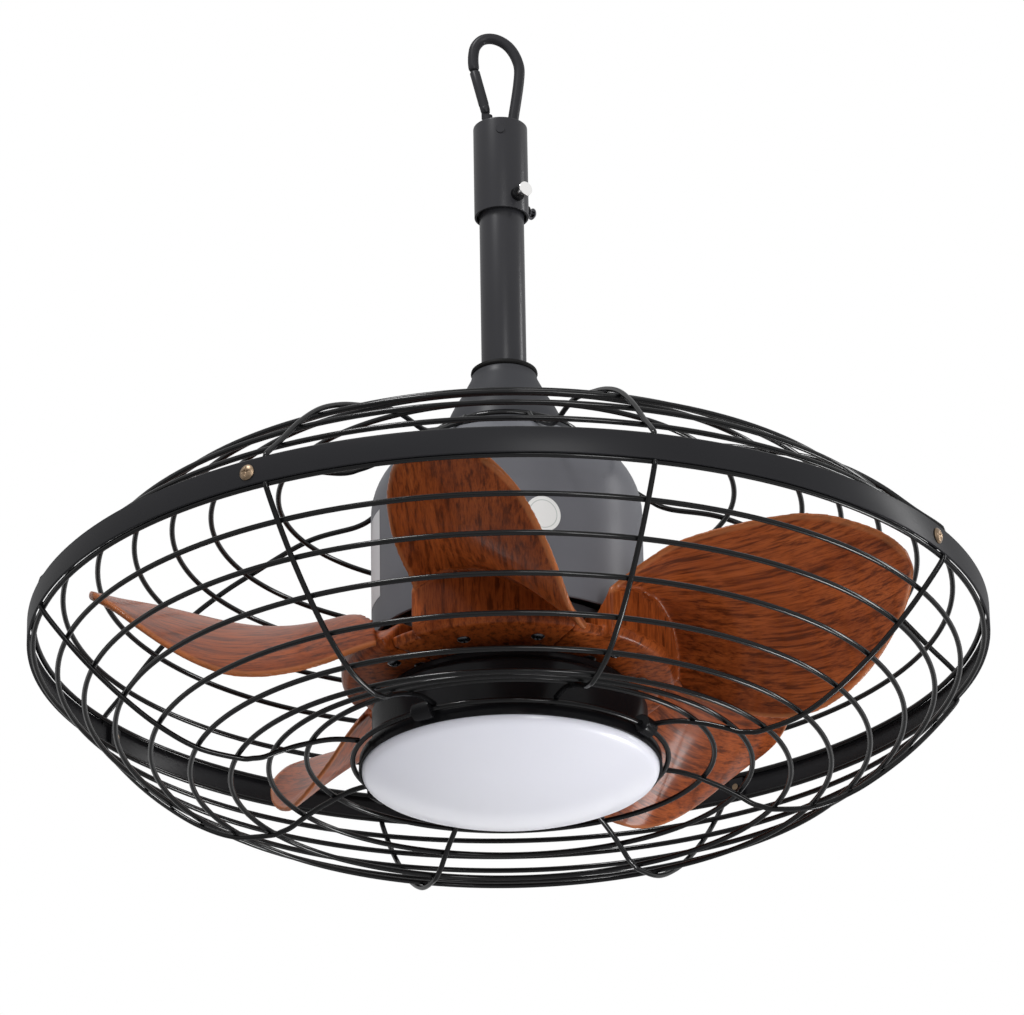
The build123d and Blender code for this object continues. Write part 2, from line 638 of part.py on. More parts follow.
def hang_height():
    """Height of the inside of the crown on the downrod's axis."""
    path = hook_path()
    for (x0, z0), (x1, z1) in zip(path, path[1:]):
        if x0 < 0 <= x1:
            middle = z0 + (z1 - z0) * x0 / (x0 - x1)
            flat = HOOK_WIRE / 2 * math.cos(math.pi / HOOK_SIDES)
            return middle - flat * math.hypot(x1 - x0, z1 - z0) / (x1 - x0)


def snap_hook():
    """Pear-shaped hook of thick wire, with a flat tongue that the gate straddles."""
    tongue = gate_hinge() * Rot(90, 0, 0) * screw_bar(TONGUE_RADIUS, -TONGUE_THICK / 2, TONGUE_THICK / 2, 8)
    neck = gate_hinge() * Pos(0.5, 0, -3.0) * Box(4.0, TONGUE_THICK, 6.0)
    return [wire_run(hook_path(), HOOK_WIRE, HOOK_SIDES) + tongue + neck - gate_pin_bore()]


def hook_gate():
    """Gate bar from its hinge to the hook's nose, slotted over the tongue."""
    x, z = HOOK_NOSE[0] - GATE_HINGE[0], HOOK_NOSE[1] - GATE_HINGE[1]
    lean = gate_hinge() * Rot(0, math.degrees(math.atan2(x, z)), 0)
    bar = lean * screw_bar(GATE_RADIUS, 0, math.hypot(x, z) - 1.6, 8)
    eye = gate_hinge() * Rot(90, 0, 0) * screw_bar(GATE_RADIUS, -0.92 * GATE_RADIUS, 0.92 * GATE_RADIUS, 8)
    slot = lean * Pos(0, 0, GATE_SLOT - 10) * Box(20, TONGUE_THICK + 2 * SEAT_GAP, 20)
    return [bar + eye - slot - gate_pin_bore()]


def gate_pin():
    return [gate_hinge() * Rot(90, 0, 0) * Cylinder(GATE_PIN_RADIUS, 2 * GATE_RADIUS + 0.6)]


def nodes():
    parts = {
        "snap_hook": snap_hook(), "hook_gate": hook_gate(), "gate_pin": gate_pin(),
        "hanger_sleeve": hanger_sleeve(), "hook_pin": hook_pin(), "sleeve_bolt": sleeve_screw(BOLT_ANGLE),
        "sleeve_screw": sleeve_screw(LOCK_SCREW_ANGLE),
        "downrod": downrod(), "collar_ring": collar(), "bell_cover": bell_cover(), "yoke": yoke(),
        "yoke_pin": yoke_pin(), "shaft": shaft(), "motor_cover": motor_cover(), "bearings": bearings(),
        "rotor_shell": rotor_shell(), "magnets": magnets(), "stator_core": stator_core(),
        "stator_coils": stator_coils(), "blade_hub": blade_hub(), "blade_screws": blade_screws(),
        "cage_band": cage_band(), "band_screws": band_screws(), "band_tabs": band_tabs(),
        "upper_ribs": upper_ribs(), "lower_ribs": lower_ribs(), "crown_plate": crown_plate(),
        "crown_ring": [wire_ring(*CROWN_RING)], "lamp_ring": [wire_ring(*LAMP_RING)],
        "ring_clips": ring_clips(), "lamp_housing": lamp_housing(), "led_board": led_board(),
        "lamp_nut": lamp_nut(), "lens": lens(),
    }
    for i, one in enumerate(blades()):
        parts[f"blade_{i + 1}"] = [one]
    for i, one in enumerate(cage_rings(1, UPPER_RINGS, CROWN_RIB[0])):
        parts[f"upper_ring_{i + 1}"] = [one]
    for i, one in enumerate(cage_rings(-1, LOWER_RINGS, LAMP_RIB[0])):
        parts[f"lower_ring_{i + 1}"] = [one]
    return parts


def main():
    os.makedirs("parts", exist_ok=True)
    drop = Pos(0, 0, -hang_height())
    for name, shapes in nodes().items():
        solids = [solid for shape in shapes for solid in shape.solids()]
        placed = [drop * solid for solid in solids]
        group = Compound(children=placed) if len(placed) > 1 else placed[0]
        export_step(group, f"parts/{name}.step")


main()
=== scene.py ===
import math

import bmesh
import bpy
import numpy as np
from mathutils import Matrix, Vector


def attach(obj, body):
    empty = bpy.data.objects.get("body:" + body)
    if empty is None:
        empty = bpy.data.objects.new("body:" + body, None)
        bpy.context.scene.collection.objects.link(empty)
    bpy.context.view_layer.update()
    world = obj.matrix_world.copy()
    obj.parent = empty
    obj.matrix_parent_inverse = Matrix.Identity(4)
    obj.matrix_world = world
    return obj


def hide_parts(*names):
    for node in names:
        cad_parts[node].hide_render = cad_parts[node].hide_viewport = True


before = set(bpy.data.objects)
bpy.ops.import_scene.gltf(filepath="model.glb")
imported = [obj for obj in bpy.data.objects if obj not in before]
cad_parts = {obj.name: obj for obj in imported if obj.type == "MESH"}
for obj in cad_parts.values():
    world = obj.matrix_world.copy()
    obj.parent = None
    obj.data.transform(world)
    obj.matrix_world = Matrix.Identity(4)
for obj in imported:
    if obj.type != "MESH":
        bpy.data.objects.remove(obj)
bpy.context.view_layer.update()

# Sizes are in millimetres from the middle of the cage band, as the fan was measured.
# HANG is how far the hook's inside, where the frame has its origin, is above that.
MM = 0.001
HANG = 372.8965

BAND_RADIUS = 265.0
BAND_WALL = 1.5
BAND_EDGE = 7.0
BAND_SCREW_COUNT = 4
BAND_SCREW_ANGLE = -30.3
WIRE = 3.0
WIRE_SIDES = 12
RING_STEPS = 180
RIB_COUNT = 8
RIB_ANGLE = 16.9
# radius and height of each wire ring, from the band towards the axis
LOWER_RINGS = [(261.6, -7.2), (247.8, -22.7), (233.1, -38.2), (216.0, -53.3), (196.6, -67.4),
               (175.0, -78.1), (152.9, -81.7), (132.1, -75.6), (111.5, -69.0)]
UPPER_RINGS = [(261.6, 7.2), (245.5, 20.9), (226.7, 38.8), (206.7, 54.1), (185.9, 65.2),
               (164.4, 73.7), (127.0, 86.0)]
LAMP_RING = (86.3, -70.6)
CROWN_RING = (44.0, 118.5)
# the bent end of a rib, from its last outer ring to the ring that it is welded to
LOWER_RIB_TAIL = [(145.0, -84.0), (139.0, -82.6), (132.5, -79.4), (127.0, -77.0), (121.0, -74.5),
                  (114.5, -72.3), (108.0, -70.2), (101.0, -68.6), (94.5, -67.9), (88.5, -67.7),
                  (85.6, -67.7)]
UPPER_RIB_TAIL = [(96.0, 90.6), (84.0, 94.6), (75.0, 99.2), (64.6, 105.4), (54.0, 111.2),
                  (48.6, 115.6), (46.4, 117.9)]

MOTOR_RADIUS = 75.6
MOTOR_WALL = 1.6
MOTOR_FOOT = -3.0
DOME_START = 74.0
DOME_ROUND = 40.0
# what is stuck or set on another piece stands off it by this
SEAT_GAP = 0.15

# the lamp's pan, its lens and the clips on the lamp ring
PAN_OUTLINE = [(9.0, -33.0), (68.5, -33.0), (68.5, -37.0), (75.7, -42.0), (75.7, -68.5), (82.8, -69.6),
               (83.1, -77.2), (81.9, -77.2), (81.7, -71.2), (74.2, -70.3), (74.2, -43.0), (67.0, -38.0),
               (67.0, -34.5), (9.0, -34.5)]
PAN_ROUNDS = [0.2, 1.5, 1.5, 3.0, 3.0, 2.0, 0.4, 0.3, 0.5, 1.0, 1.0, 1.0, 1.0, 0.2]
LENS_FOOT = -99.3
LENS_CURVE = 182.0
LENS_FACE = 78.6
LENS_SEAT = -71.0
CLIP_COUNT = 4
CLIP_PLACE = (86.1, -6.4, LAMP_RING[1])
PAN_RIM = 83.0

BLADE_COUNT = 5
BLADE_ANGLE = -3.4
BLADE_START = 76.0
BLADE_ROUND = 205.0
BLADE_TIP = 234.0
BLADE_THICK = 5.2
ROOT_START = 44.0
ROOT_TOP = -9.9
ROOT_WALL = 88.0
ROOT_FOOT = -27.3
VOXEL = 1.1
# distance from the axis, and how far the blade's middle rises above its edges there
BLADE_ARCH = [(76, 18), (92, 18), (104, 14.8), (118, 11.2), (135, 8.4), (160, 6.0), (190, 4.2),
              (215, 2), (234, 0)]
# the most that the arch's curve, across ** 1.25 * (1 - across), reaches between the edges
ARCH_PEAK = 0.213
# angle from the blade's middle, and height at which the root's wall meets the blade's underside
ROOT_FOLD = [(-31.6, -3), (-30, -1.7), (-24, 1.3), (-13, 2), (0, 0.8), (10, -3.3), (15.4, -10.6),
             (21, -19.5), (28, -25)]
# distance from the axis, then across and height of the leading and of the trailing edge
BLADE_EDGES = [(76.0, -46.3, -0.8, 46.0, -26.0), (86.0, -48.4, 4.2, 47.2, -29.5),
               (100.0, -52.3, 9.7, 47.9, -35.8), (115.0, -54.8, 15.2, 48.2, -43.3),
               (132.0, -55.6, 18.5, 48.0, -49.5), (150.0, -54.9, 20.7, 46.3, -52.9),
               (168.0, -52.5, 22.7, 42.8, -51.6), (185.0, -49.0, 23.8, 39.4, -44.8),
               (200.0, -43.6, 22.8, 34.6, -34.6), (212.0, -36.0, 20.3, 28.8, -23.6),
               (223.0, -26.0, 17.0, 20.8, -11.2), (230.0, -16.5, 13.3, 12.0, -2.2),
               (234.0, -7.0, 9.3, 4.0, 4.2)]

ROD_RADIUS = 12.7
ROD_WALL = 1.5
ROD_FOOT = 124.0
ROD_TOP = 292.0
SLEEVE_RADIUS = 15.5
SLEEVE_BORE = 12.85
SLEEVE_FOOT = 261.5
SLEEVE_TOP = 319.0
SLEEVE_SCREW_HEIGHT = 270.0
SLEEVE_BOLT_ANGLE = 35.0
SLEEVE_LOCK_ANGLE = 125.0
SLEEVE_LOCK_REACH = 21.0

# the hook's path is across and up from its pin
PIN = 311.0
HOOK_WIRE = 6.2
HOOK_PATH = [(-14.5, 46.4), (-14.9, 51.5), (-14.7, 56.5), (-13.6, 61.4), (-10.3, 65.5), (-5.7, 66.85),
             (-0.5, 65.7), (4.5, 62.3), (8.1, 57.5), (10.6, 51.5), (11.6, 45.5), (10.9, 36.4),
             (9.3, 25.1), (7.6, 14.0), (5.9, 0.0), (4.2, -4.2), (0.0, -5.9), (-4.2, -4.2), (-5.9, 0.0),
             (-6.6, 8.0), (-7.4, 16.2)]
GATE_HINGE = (-8.4, 331.4)
HOOK_NOSE = (-14.5, 357.4)

# the photograph's camera: its distance from the band's middle, how far below that it is in degrees,
# its swing to the right, tilt up and roll, and its focal length in pixels
CAMERA_FAR = 3281.16
CAMERA_ANGLES = (22.941, 0.059, 24.227, -0.97)
FOCAL_PIXELS = 5946.28
PHOTO_WIDTH = 1024
SENSOR = 36.0


# Mesh helpers

def metres(points):
    """Millimetres from the band's middle to metres in the frame."""
    return (np.array(points, float).reshape(-1, 3) - (0.0, 0.0, HANG)) * MM


def add_piece(name, points, faces, sharp=32.0):
    """Mesh object at the origin from points in millimetres."""
    mesh = bpy.data.meshes.new(name)
    mesh.from_pydata(metres(points).tolist(), [], [list(f) for f in faces])
    mesh.validate()
    piece = bpy.data.objects.new(name, mesh)
    bpy.context.scene.collection.objects.link(piece)
    shade(piece, sharp)
    return piece


def shade(piece, sharp=32.0):
    """Smooth shading, with edges sharper than an angle in degrees left hard."""
    piece.data.polygons.foreach_set("use_smooth", [True] * len(piece.data.polygons))
    piece.data.set_sharp_from_angle(angle=math.radians(sharp))
    piece.data.update()


def outward(piece):
    """Merges doubles and turns every face outwards."""
    form = bmesh.new()
    form.from_mesh(piece.data)
    bmesh.ops.remove_doubles(form, verts=form.verts, dist=0.01 * MM)
    bmesh.ops.recalc_face_normals(form, faces=form.faces)
    form.to_mesh(piece.data)
    form.free()
    piece.data.update()
    return piece


def bent(points, radii, steps=5):
    """Closed outline with its corners rounded."""
    result = []
    count = len(points)
    for i, (corner, radius) in enumerate(zip(points, radii)):
        corner = np.array(corner, float)
        if radius <= 0:
            result.append(tuple(corner))
            continue
        before = np.array(points[i - 1], float) - corner
        after = np.array(points[(i + 1) % count], float) - corner
        room = min(np.linalg.norm(before), np.linalg.norm(after)) * 0.48
        before, after = before / np.linalg.norm(before), after / np.linalg.norm(after)
        angle = math.acos(max(-1.0, min(1.0, float(before @ after))))
        reach = min(radius / math.tan(angle / 2), room)
        for k in range(steps + 1):
            t = k / steps
            a, b = corner + before * reach, corner + after * reach
            result.append(tuple((1 - t) ** 2 * a + 2 * t * (1 - t) * corner + t * t * b))
    return result


def turned(name, outline, steps=160, sharp=32.0, closed=True):
    """Turning about the downrod's axis of an outline of (radius, height) points."""
    points, faces = [], []
    count = len(outline)
    for i in range(steps):
        turn = 2 * math.pi * i / steps
        points += [(r * math.cos(turn), r * math.sin(turn), z) for r, z in outline]
    for i in range(steps):
        j = (i + 1) % steps
        for k in range(count if closed else count - 1):
            m = (k + 1) % count
            faces.append((i * count + k, j * count + k, j * count + m, i * count + m))
    piece = add_piece(name, points, faces, sharp)
    outward(piece)
    shade(piece, sharp)
    return piece


def smooth_line(points, count):
    """Even points on a smooth line through all the given points."""
    points = np.array(points, float)
    ends = [2 * points[0] - points[1], *points, 2 * points[-1] - points[-2]]
    line = []
    for a, b, c, d in zip(ends, ends[1:], ends[2:], ends[3:]):
        for t in np.linspace(0, 1, 24, endpoint=False):
            line.append(0.5 * (2 * b + (c - a) * t + (2 * a - 5 * b + 4 * c - d) * t * t
                               + (3 * b - a - 3 * c + d) * t ** 3))
    line.append(points[-1])
    line = np.array(line)
    run = np.concatenate([[0], np.cumsum(np.linalg.norm(np.diff(line, axis=0), axis=1))])
    even = np.linspace(0, run[-1], count)
    return np.stack([np.interp(even, run, line[:, i]) for i in range(line.shape[1])], -1)


def swept(name, line, radii, sides=20):
    """Round bar along a line in the hook's plane, closed at both ends."""
    line = np.array(line, float)
    along = np.gradient(line, axis=0)
    along /= np.linalg.norm(along, axis=1)[:, None]
    points, faces = [], []
    for (x, z), (dx, dz), radius in zip(line, along, radii):
        for k in range(sides):
            turn = 2 * math.pi * k / sides
            out, across = radius * math.cos(turn), radius * math.sin(turn)
            points.append((x + dz * out, across, z - dx * out))
    for i in range(len(line) - 1):
        for k in range(sides):
            m = (k + 1) % sides
            faces.append((i * sides + k, i * sides + m, (i + 1) * sides + m, (i + 1) * sides + k))
    faces.append(tuple(range(sides))[::-1])
    faces.append(tuple((len(line) - 1) * sides + k for k in range(sides)))
    piece = add_piece(name, points, faces)
    outward(piece)
    shade(piece, 40)
    return piece


def joined(name, pieces):
    """One mesh from several, in the order given."""
    form = bmesh.new()
    for piece in pieces:
        form.from_mesh(piece.data)
    mesh = bpy.data.meshes.new(name)
    form.to_mesh(mesh)
    form.free()
    for piece in pieces:
        bpy.data.objects.remove(piece)
    whole = bpy.data.objects.new(name, mesh)
    bpy.context.scene.collection.objects.link(whole)
    return whole


def carve(piece, tool):
    """Cuts a tool out of a piece, and removes the tool."""
    cut = piece.modifiers.new("cut", "BOOLEAN")
    cut.operation = "DIFFERENCE"
    cut.solver = "EXACT"
    cut.object = tool
    settled(piece)
    bpy.data.objects.remove(tool)


def settled(piece):
    """Turns a piece's modifiers into plain mesh."""
    bpy.context.view_layer.update()
    shape = piece.evaluated_get(bpy.context.evaluated_depsgraph_get())
    mesh = bpy.data.meshes.new_from_object(shape)
    piece.modifiers.clear()
    old = piece.data
    piece.data = mesh
    mesh.name = piece.name
    bpy.data.meshes.remove(old)
    return piece


def block(name, low, high):
    """Box between two corners in millimetres."""
    (x0, y0, z0), (x1, y1, z1) = low, high
    corners = [(x0, y0), (x1, y0), (x1, y1), (x0, y1)]
    points = [(x, y, z) for z in (z0, z1) for x, y in corners]
    faces = [(3, 2, 1, 0), (4, 5, 6, 7), (0, 1, 5, 4), (1, 2, 6, 5), (2, 3, 7, 6), (3, 0, 4, 7)]
    return add_piece(name, points, faces)


def moved(piece, matrix):
    """Moves a piece's mesh by a matrix whose shift is in millimetres from the band's middle."""
    to_work = Matrix.Translation((0, 0, HANG)) @ Matrix.Scale(1 / MM, 4)
    piece.data.transform(to_work.inverted() @ matrix @ to_work)
    piece.data.update()
    return piece


def outwards_from(angle, radius, height):
    """Matrix that puts a part drawn along +Z on a radius, facing away from the axis."""
    turn = Matrix.Rotation(math.radians(angle - 90), 4, "Z")
    return turn @ Matrix.Translation((radius, 0, height)) @ Matrix.Rotation(math.radians(90), 4, "Y")


# Node trees

class Field:
    """A node's output in an expression. Arithmetic on it adds Math nodes."""

    def __init__(self, tree, socket=None):
        self.tree = tree
        self.socket = socket

    def node(self, kind, settings=None, sockets=None, output=0):
        """Adds a node: its settings first, then the values or links of its sockets."""
        made = self.tree.nodes.new(kind)
        for name, value in (settings or {}).items():
            if name == "stops":
                set_stops(made.color_ramp, value)
            else:
                setattr(made, name, value)
        for name, value in (sockets or {}).items():
            if isinstance(value, Field):
                self.tree.links.new(value.socket, made.inputs[name])
            else:
                made.inputs[name].default_value = value
        return Field(self.tree, made.outputs[output])

    def other(self, output):
        """Another output of the same node."""
        return Field(self.tree, self.socket.node.outputs[output])

    def math(self, operation, a, b=0.0):
        return self.node("ShaderNodeMath", {"operation": operation}, {0: a, 1: b})

    def __add__(self, other):
        return self.math("ADD", self, other)

    __radd__ = __add__

    def __sub__(self, other):
        return self.math("SUBTRACT", self, other)

    def __rsub__(self, other):
        return self.math("SUBTRACT", other, self)

    def __mul__(self, other):
        return self.math("MULTIPLY", self, other)

    __rmul__ = __mul__

    def __truediv__(self, other):
        return self.math("DIVIDE", self, other)

    def __rtruediv__(self, other):
        return self.math("DIVIDE", other, self)


def set_stops(colours, stops):
    """Gives a colour ramp its stops, as (position, colour) pairs."""
    while len(colours.elements) > len(stops):
        colours.elements.remove(colours.elements[-1])
    while len(colours.elements) < len(stops):
        colours.elements.new(1.0)
    for element, (position, colour) in zip(colours.elements, stops):
        element.position = position
        element.color = rgb(*colour)


def finish(name, **fixed):
    """New material whose shader has its plain numbers set; returns it, its tree and its shader."""
    material = bpy.data.materials.new(name)
    material.use_nodes = True
    shader = material.node_tree.nodes["Principled BSDF"]
    names = {"roughness": "Roughness", "metallic": "Metallic", "specular": "Specular IOR Level",
             "coat": "Coat Weight", "coat_roughness": "Coat Roughness",
             "subsurface": "Subsurface Weight", "scatter": "Subsurface Radius",
             "scale": "Subsurface Scale"}
    for key, value in fixed.items():
        shader.inputs[names[key]].default_value = value
    return material, Field(material.node_tree), shader


def feed(shader, **fields):
    """Links what changes over the surface to the shader."""
    names = {"color": "Base Color", "roughness": "Roughness", "normal": "Normal"}
    for key, field in fields.items():
        field.tree.links.new(field.socket, shader.inputs[names[key]])


def blend_colours(tree, factor, a, b):
    """Mix node in its colour mode, whose colour inputs are 6 and 7 and whose colour output is 2."""
    return tree.node("ShaderNodeMix", {"data_type": "RGBA"}, {"Factor": factor, 6: a, 7: b}, 2)


def noise(tree, vector, scale, detail=2.0, **more):
    """Noise texture on a vector. More takes its other sockets, such as Distortion."""
    return tree.node("ShaderNodeTexNoise",
                     sockets={"Vector": vector, "Scale": scale, "Detail": detail, **more})


def stretched(tree, vector, scale):
    """A vector stretched by a scale for each axis."""
    return tree.node("ShaderNodeMapping", sockets={"Vector": vector, "Scale": scale})


def ramp(tree, field, stops):
    return tree.node("ShaderNodeValToRGB", {"stops": stops}, {"Fac": field})


def bump(tree, height, strength, distance):
    return tree.node("ShaderNodeBump",
                     sockets={"Strength": strength, "Distance": distance, "Height": height})


def rgb(r, g, b):
    return (r, g, b, 1.0)


def painted(name, low, high, roughness, grain=900.0, peeled=True, coat=0.0, gloss=0.25):
    """Sprayed paint: a little cloudy in colour and gloss, with fine orange peel that can be left flat."""
    material, tree, shader = finish(name, coat=coat, coat_roughness=gloss, specular=0.0)
    spot = tree.node("ShaderNodeTexCoord", output="Object")
    clouds = noise(tree, spot, 14.0, 4.0)
    peel = noise(tree, spot, grain, 3.0)
    feed(shader, color=blend_colours(tree, clouds, rgb(*low), rgb(*high)),
         roughness=roughness - 0.05 + 0.08 * clouds + 0.04 * peel)
    if peeled:
        feed(shader, normal=bump(tree, peel, 0.35, 0.04 * MM))
    return material


def metal(name, colour, roughness, lines=0.0, stain=0.15):
    """Bare metal with soft stains, and turning or rolling lines where asked."""
    material, tree, shader = finish(name, metallic=1.0)
    spot = tree.node("ShaderNodeTexCoord", output="Object")
    stains = noise(tree, spot, 60.0, 5.0)
    marks = noise(tree, stretched(tree, spot, (60.0, 60.0, 2600.0)), 1.0)
    dark = tuple(c * (1 - stain) for c in colour)
    feed(shader, color=blend_colours(tree, stains, rgb(*dark), rgb(*colour)),
         roughness=roughness + 0.12 * stains + 0.1 * lines * marks,
         normal=bump(tree, marks, 0.2, 0.05 * MM * lines))
    return material


def wood_skin():
    """Lacquered printed wood on the blades. The grain runs along each blade and up its root's wall, and a
    painted highlight runs along the blades' edges.
    """
    material, tree, shader = finish("blade_wood_skin", coat=0.14, coat_roughness=0.14, specular=0.06)
    grain = tree.node("ShaderNodeAttribute", {"attribute_name": "grain"}, output="Vector")
    # the rim attribute marks the painted highlight along the blades' leading and trailing edges
    rim = tree.node("ShaderNodeAttribute", {"attribute_name": "rim"}, output="Fac")
    bands = noise(tree, stretched(tree, grain, (5.0, 34.0, 26.0)), 1.0, 3.0, Distortion=0.8)
    streaks = noise(tree, stretched(tree, grain, (20.0, 400.0, 260.0)), 1.0, 6.0,
                    Roughness=0.66, Distortion=0.35)
    pores = noise(tree, stretched(tree, grain, (46.0, 1500.0, 1000.0)), 1.0)
    body = ramp(tree, 0.5 * bands + 0.5 * streaks, [
        (0.30, (0.100, 0.018, 0.003)), (0.45, (0.205, 0.040, 0.008)),
        (0.58, (0.300, 0.066, 0.014)), (0.75, (0.390, 0.102, 0.026))])
    dark = ramp(tree, streaks, [(0.38, (1, 1, 1)), (0.50, (0, 0, 0))])
    lines = ramp(tree, pores, [(0.40, (1, 1, 1)), (0.50, (0, 0, 0))])
    colour = blend_colours(tree, 0.72 * dark, body, rgb(0.050, 0.010, 0.002))
    colour = blend_colours(tree, 0.34 * lines, colour, rgb(0.055, 0.012, 0.003))
    # painted highlight: the wood is painted paler along the blades' rounded edges, where gloss catches
    # the light
    colour = blend_colours(tree, 0.55 * rim, colour, rgb(0.430, 0.150, 0.055))
    feed(shader, color=colour, roughness=0.36 + 0.12 * streaks,
         normal=bump(tree, streaks, 0.25, 0.06 * MM))
    return material


def opal():
    """Milky lens plastic, faintly cloudy."""
    material, tree, shader = finish("opal_lens_plastic", coat=0.15, coat_roughness=0.12, subsurface=0.35,
                                    scatter=(0.02, 0.02, 0.022), scale=0.4)
    spot = tree.node("ShaderNodeTexCoord", output="Object")
    clouds = noise(tree, spot, 9.0, 3.0)
    colour = blend_colours(tree, clouds, rgb(0.73, 0.735, 0.84), rgb(0.79, 0.795, 0.88))
    feed(shader, color=colour, roughness=0.26 + 0.06 * clouds)
    return material


def plain_label():
    """Round sticker with a faint printed ring."""
    material, tree, shader = finish("blank_round_sticker", roughness=0.4)
    spot = tree.node("ShaderNodeAttribute", {"attribute_name": "grain"}, output="Vector")
    out = tree.node("ShaderNodeSeparateXYZ", sockets={"Vector": spot})
    paper = (0.86, 0.87, 0.86)
    ring = ramp(tree, out, [(0.0, paper), (0.74, paper), (0.78, (0.45, 0.50, 0.48)), (0.82, paper),
                            (1.0, (0.80, 0.81, 0.80))])
    feed(shader, color=ring)
    return material


# Geometry nodes

def new_tree(name, sizes):
    """Geometry tree with a geometry input, named size inputs and a material input."""
    tree = bpy.data.node_groups.new(name, "GeometryNodeTree")
    sockets = tree.interface
    sockets.new_socket("Geometry", in_out="INPUT", socket_type="NodeSocketGeometry")
    for label, kind in sizes:
        sockets.new_socket(label, in_out="INPUT", socket_type=kind)
    sockets.new_socket("Material", in_out="INPUT", socket_type="NodeSocketMaterial")
    sockets.new_socket("Geometry", in_out="OUTPUT", socket_type="NodeSocketGeometry")
    start = Field(tree).node("NodeGroupInput")
    return tree, start


def close_tree(start, shape):
    """Ends a tree with smooth shading, realised instances and the material."""
    plain = start.node("GeometryNodeRealizeInstances", sockets={"Geometry": shape})
    smooth = start.node("GeometryNodeSetShadeSmooth", sockets={"Geometry": plain})
    done = start.node("GeometryNodeSetMaterial",
                      sockets={"Geometry": smooth, "Material": start.other("Material")})
    end = start.tree.nodes.new("NodeGroupOutput")
    start.tree.links.new(done.socket, end.inputs["Geometry"])


def circle_of(start, steps, radius):
    return start.node("GeometryNodeCurvePrimitiveCircle",
                      sockets={"Resolution": steps, "Radius": radius})


def ring_tree():
    """Wire rings about the axis, one for each point of the input, at its radius and height."""
    tree, start = new_tree("cage_rings",
                           [("Wire Radius", "NodeSocketFloat"), ("Steps", "NodeSocketInt")])
    spots = start.node("GeometryNodeMeshToPoints", sockets={"Mesh": start.other("Geometry")})
    spot = start.node("GeometryNodeInputPosition")
    apart = start.node("ShaderNodeSeparateXYZ", sockets={"Vector": spot})
    radius = apart.other("X")
    size = start.node("ShaderNodeCombineXYZ", sockets={"X": radius, "Y": radius, "Z": 1.0})
    kept = start.node("GeometryNodeCaptureAttribute", sockets={"Geometry": spots})
    kept.socket.node.capture_items.new("VECTOR", "Size")
    tree.links.new(size.socket, kept.socket.node.inputs["Size"])
    middle = start.node("ShaderNodeCombineXYZ", sockets={"Z": apart.other("Z")})
    on_axis = start.node("GeometryNodeSetPosition", sockets={"Geometry": kept, "Position": middle})
    circle = circle_of(start, start.other("Steps"), 1.0)
    rings = start.node("GeometryNodeInstanceOnPoints",
                       sockets={"Points": on_axis, "Instance": circle, "Scale": kept.other("Size")})
    lines = start.node("GeometryNodeRealizeInstances", sockets={"Geometry": rings})
    section = circle_of(start, WIRE_SIDES, start.other("Wire Radius"))
    wires = start.node("GeometryNodeCurveToMesh", sockets={"Curve": lines, "Profile Curve": section})
    close_tree(start, wires)
    return tree


def turns(start, shape):
    """Copies of a shape turned about the axis."""
    spots = start.node("GeometryNodeMeshLine", {"mode": "OFFSET"},
                       {"Count": start.other("Count"), "Start Location": (0, 0, 0), "Offset": (0, 0, 0)})
    index = start.node("GeometryNodeInputIndex")
    angle = math.tau * index / start.other("Count") + start.other("First Angle")
    turn = start.node("ShaderNodeCombineXYZ", sockets={"Z": angle})
    return start.node("GeometryNodeInstanceOnPoints",
                      sockets={"Points": spots, "Instance": shape, "Rotation": turn})


def rib_tree():
    """Round wires along the input path, repeated about the axis."""
    tree, start = new_tree("cage_ribs", [("Wire Radius", "NodeSocketFloat"), ("Count", "NodeSocketInt"),
                                         ("First Angle", "NodeSocketFloat")])
    path = start.node("GeometryNodeMeshToCurve", sockets={"Mesh": start.other("Geometry")})
    section = circle_of(start, WIRE_SIDES, start.other("Wire Radius"))
    wire = start.node("GeometryNodeCurveToMesh",
                      sockets={"Curve": path, "Profile Curve": section, "Fill Caps": True})
    close_tree(start, turns(start, wire))
    return tree


def repeat_tree():
    """Copies of the input about the axis."""
    tree, start = new_tree("round_the_axis",
                           [("Count", "NodeSocketInt"), ("First Angle", "NodeSocketFloat")])
    close_tree(start, turns(start, start.other("Geometry")))
    return tree


def grown(piece, tree, material, **sizes):
    """Runs a tree on a piece with its inputs set, and keeps the result as plain mesh."""
    modifier = piece.modifiers.new(tree.name, "NODES")
    modifier.node_group = tree
    wanted = {key.replace("_", " ").title(): value for key, value in sizes.items()}
    wanted["Material"] = material
    for item in tree.interface.items_tree:
        if item.in_out == "INPUT" and item.name in wanted:
            modifier[item.identifier] = wanted[item.name]
    return settled(piece)


def line_piece(name, points):
    """Bare path or points, in millimetres, for a tree to work on."""
    mesh = bpy.data.meshes.new(name)
    edges = [(i, i + 1) for i in range(len(points) - 1)]
    mesh.from_pydata(metres(points).tolist(), edges, [])
    piece = bpy.data.objects.new(name, mesh)
    bpy.context.scene.collection.objects.link(piece)
    return piece


# Finishes

